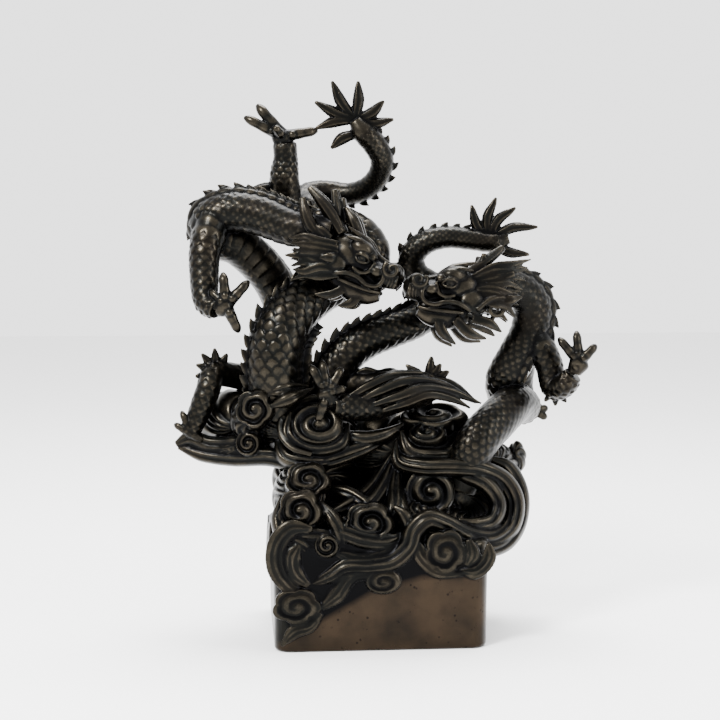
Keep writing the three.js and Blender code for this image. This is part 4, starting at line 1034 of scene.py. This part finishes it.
def bronze(name, plain):
    # Near-black patina; hollows darker with deeper patina and painted shade, edges and high points lighter
    # with worn metal and a painted highlight; the plinth's has the plain brown faces as well
    made = bpy.data.materials.new(name)
    made.use_nodes = True
    nodes, link = made.node_tree.nodes, made.node_tree.links.new
    shader = nodes["Principled BSDF"]
    place = nodes.new("ShaderNodeTexCoord").outputs["Object"]

    def noise(size, detail=4.0):
        node = nodes.new("ShaderNodeTexNoise")
        node.inputs["Scale"].default_value = 1 / size
        node.inputs["Detail"].default_value = detail
        link(place, node.inputs["Vector"])
        return node.outputs["Fac"]

    def given(attribute):
        node = nodes.new("ShaderNodeAttribute")
        node.attribute_name = attribute
        return node.outputs["Fac"]

    def maths(kind, a, b):
        return addMaths(nodes, link, kind, a, b)

    def remap(value, low, high, outLow=0.0, outHigh=1.0):
        node = nodes.new("ShaderNodeMapRange")
        link(value, node.inputs["Value"])
        for side, v in (("From Min", low), ("From Max", high), ("To Min", outLow), ("To Max", outHigh)):
            node.inputs[side].default_value = v
        return node.outputs["Result"]

    def blend(share, low, high):
        mix = nodes.new("ShaderNodeMix")
        mix.data_type = "RGBA"
        link(share, mix.inputs[0])
        for socket, colour in ((mix.inputs[6], low), (mix.inputs[7], high)):
            if isinstance(colour, tuple):
                socket.default_value = (*colour, 1)
            else:
                link(colour, socket)
        return mix.outputs[2]

    grain = noise(patina["grainSize"])
    field = blend(remap(noise(patina["blotchSize"]), 0.48, 0.66), patina["field"], patina["warm"])
    # Hollows turn darker: deeper patina and painted shade
    withHollowPatinaAndShade = blend(remap(given("relief"), 0.35, -0.55), field, patina["hollowPatinaAndShade"])
    # Edges and high points turn lighter, broken up by noise: worn metal and a painted highlight
    proud = maths("ADD", remap(given("edge"), 0.38, 1.15), remap(given("relief"), 0.5, 1.0, 0, 0.1))
    patchy = maths("ADD", noise(patina["wearSize"]), maths("MULTIPLY", grain, 0.4))
    wornAndHighlightShare = maths("MULTIPLY", proud, remap(patchy, 0.5, 0.95, 0.15, 1))
    colour = blend(wornAndHighlightShare, withHollowPatinaAndShade, patina["wornAndHighlight"])
    height = maths("MULTIPLY", grain, 0.35)
    if plain:
        split = nodes.new("ShaderNodeSeparateXYZ")
        link(place, split.inputs[0])
        x, y, z = split.outputs
        across = maths("DIVIDE", x, block["width"] / 2)
        lines = [maths("ADD", maths("MULTIPLY", across, slope), at) for slope, at in block["cloudLines"]]
        front = maths("MINIMUM", maths("MINIMUM", lines[0], lines[1]), lines[2])
        toRear = maths("MULTIPLY", remap(y, -0.05, 0.0), maths("SUBTRACT", block["plainBelow"], front))
        level = maths("SUBTRACT", maths("DIVIDE", z, block["height"]), 1.0)
        below = remap(maths("SUBTRACT", maths("ADD", front, toRear), level), 0.0, 0.07)
        flatFace = maths("MULTIPLY", given("plain"), below)
        stain = remap(noise(patina["stainSize"], 6), 0.38, 0.70)
        colour = blend(flatFace, colour, blend(stain, patina["plinth"], patina["stain"]))
        pits = nodes.new("ShaderNodeTexVoronoi")
        pits.inputs["Scale"].default_value = 1 / patina["pitSize"]
        link(place, pits.inputs["Vector"])
        patches = remap(noise(patina["pitPatchSize"]), 0.55, 0.6)
        pit = maths("MULTIPLY", remap(pits.outputs["Distance"], 0.16, 0.3, 1, 0), patches)
        pit = maths("MULTIPLY", pit, flatFace)
        height = maths("SUBTRACT", height, pit)
        colour = blend(maths("MULTIPLY", pit, 0.7), colour, patina["hollowPatinaAndShade"])
    bump = nodes.new("ShaderNodeBump")
    bump.inputs["Strength"].default_value = patina["bump"]
    bump.inputs["Distance"].default_value = patina["bumpDepth"]
    link(height, bump.inputs["Height"])
    link(colour, shader.inputs["Base Color"])
    link(remap(wornAndHighlightShare, 0, 1, patina["roughness"], patina["rubbedRoughness"]), shader.inputs["Roughness"])
    link(bump.outputs[0], shader.inputs["Normal"])
    shader.inputs["Metallic"].default_value = patina["metallic"]
    return made


dragonBronze, plinthBronze = bronze("dragonBronze", False), bronze("plinthBronze", True)
repeatNodes, repeatInputs = repeatTree()
scaleShape, spineShape = scalePiece(), spinePiece()
print("finishes and repeating parts ready")

for name, piece, nodes in (
    ("left_dragon", leftDragon, ("left_dragon_front", "left_dragon_rear")),
    ("right_dragon", rightDragon, ("right_dragon_front", "right_dragon_rear")),
):
    forms = [(seenToTrue(points), faces) for points, faces in dragonForms(piece, dragonBronze)]
    made = cast(name, forms, piece, dragonBronze)
    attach(made, "root")
    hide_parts(*nodes)
bank = cast("cloud_bank", bankForms(), cloudBank, plinthBronze)
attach(bank, "root")
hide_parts("cloud_plinth")
for shape in (scaleShape, spineShape):
    bpy.data.objects.remove(shape)

# Studio

def addFloor():
    reach = studio["floorReach"]
    mesh = bpy.data.meshes.new("floor")
    corners = [(x * reach, y * reach, 0) for x, y in ((-1, -1), (1, -1), (1, 1), (-1, 1))]
    mesh.from_pydata(corners, [], [(0, 1, 2, 3)])
    floor = objectOf("floor", mesh)
    finish = bpy.data.materials.new("floor")
    finish.use_nodes = True
    shader = finish.node_tree.nodes["Principled BSDF"]
    shader.inputs["Base Color"].default_value = (*studio["floor"], 1)
    shader.inputs["Roughness"].default_value = 0.7
    mesh.materials.append(finish)
    floor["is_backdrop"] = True


def addLight(name, place, size, watts):
    light = bpy.data.lights.new(name, "AREA")
    light.shape, light.size, light.size_y = "RECTANGLE", size[0], size[1]
    light.energy = watts
    lamp = objectOf(name, light)
    lamp.location = place
    lamp.rotation_euler = (Vector(studio["lightsAim"]) - Vector(place)).to_track_quat("-Z", "Y").to_euler()


def addCamera():
    inward = Vector(sightFrame()[1])
    distance = drawing["sightDistance"] * unit
    aim = Vector((-drawing["blockMiddle"] * unit, 0,
                  block["height"] + (drawing["sightHeight"] - drawing["blockLevel"]) * unit))
    lens = bpy.data.cameras.new("camera")
    lens.sensor_width = studio["sensor"]
    lens.lens = studio["sensor"] * studio["pixelsPerHundredth"] * drawing["sightDistance"] / studio["frame"]
    lens.shift_x = -(studio["aimAcross"] - studio["frame"] / 2) / studio["frame"]
    lens.shift_y = (studio["aimDown"] - studio["frame"] / 2) / studio["frame"]
    camera = objectOf("camera", lens)
    camera.location = aim - inward * distance
    camera.rotation_euler = inward.to_track_quat("-Z", "Y").to_euler()
    bpy.context.scene.camera = camera


addFloor()
world = bpy.context.scene.world or bpy.data.worlds.new("world")
bpy.context.scene.world = world
world.use_nodes = True
sky = world.node_tree.nodes["Background"]
sky.inputs["Color"].default_value = (1, 1, 1, 1)
sky.inputs["Strength"].default_value = studio["sky"]
for light in studio["lights"]:
    addLight(*light)
addCamera()
print("studio ready")

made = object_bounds()
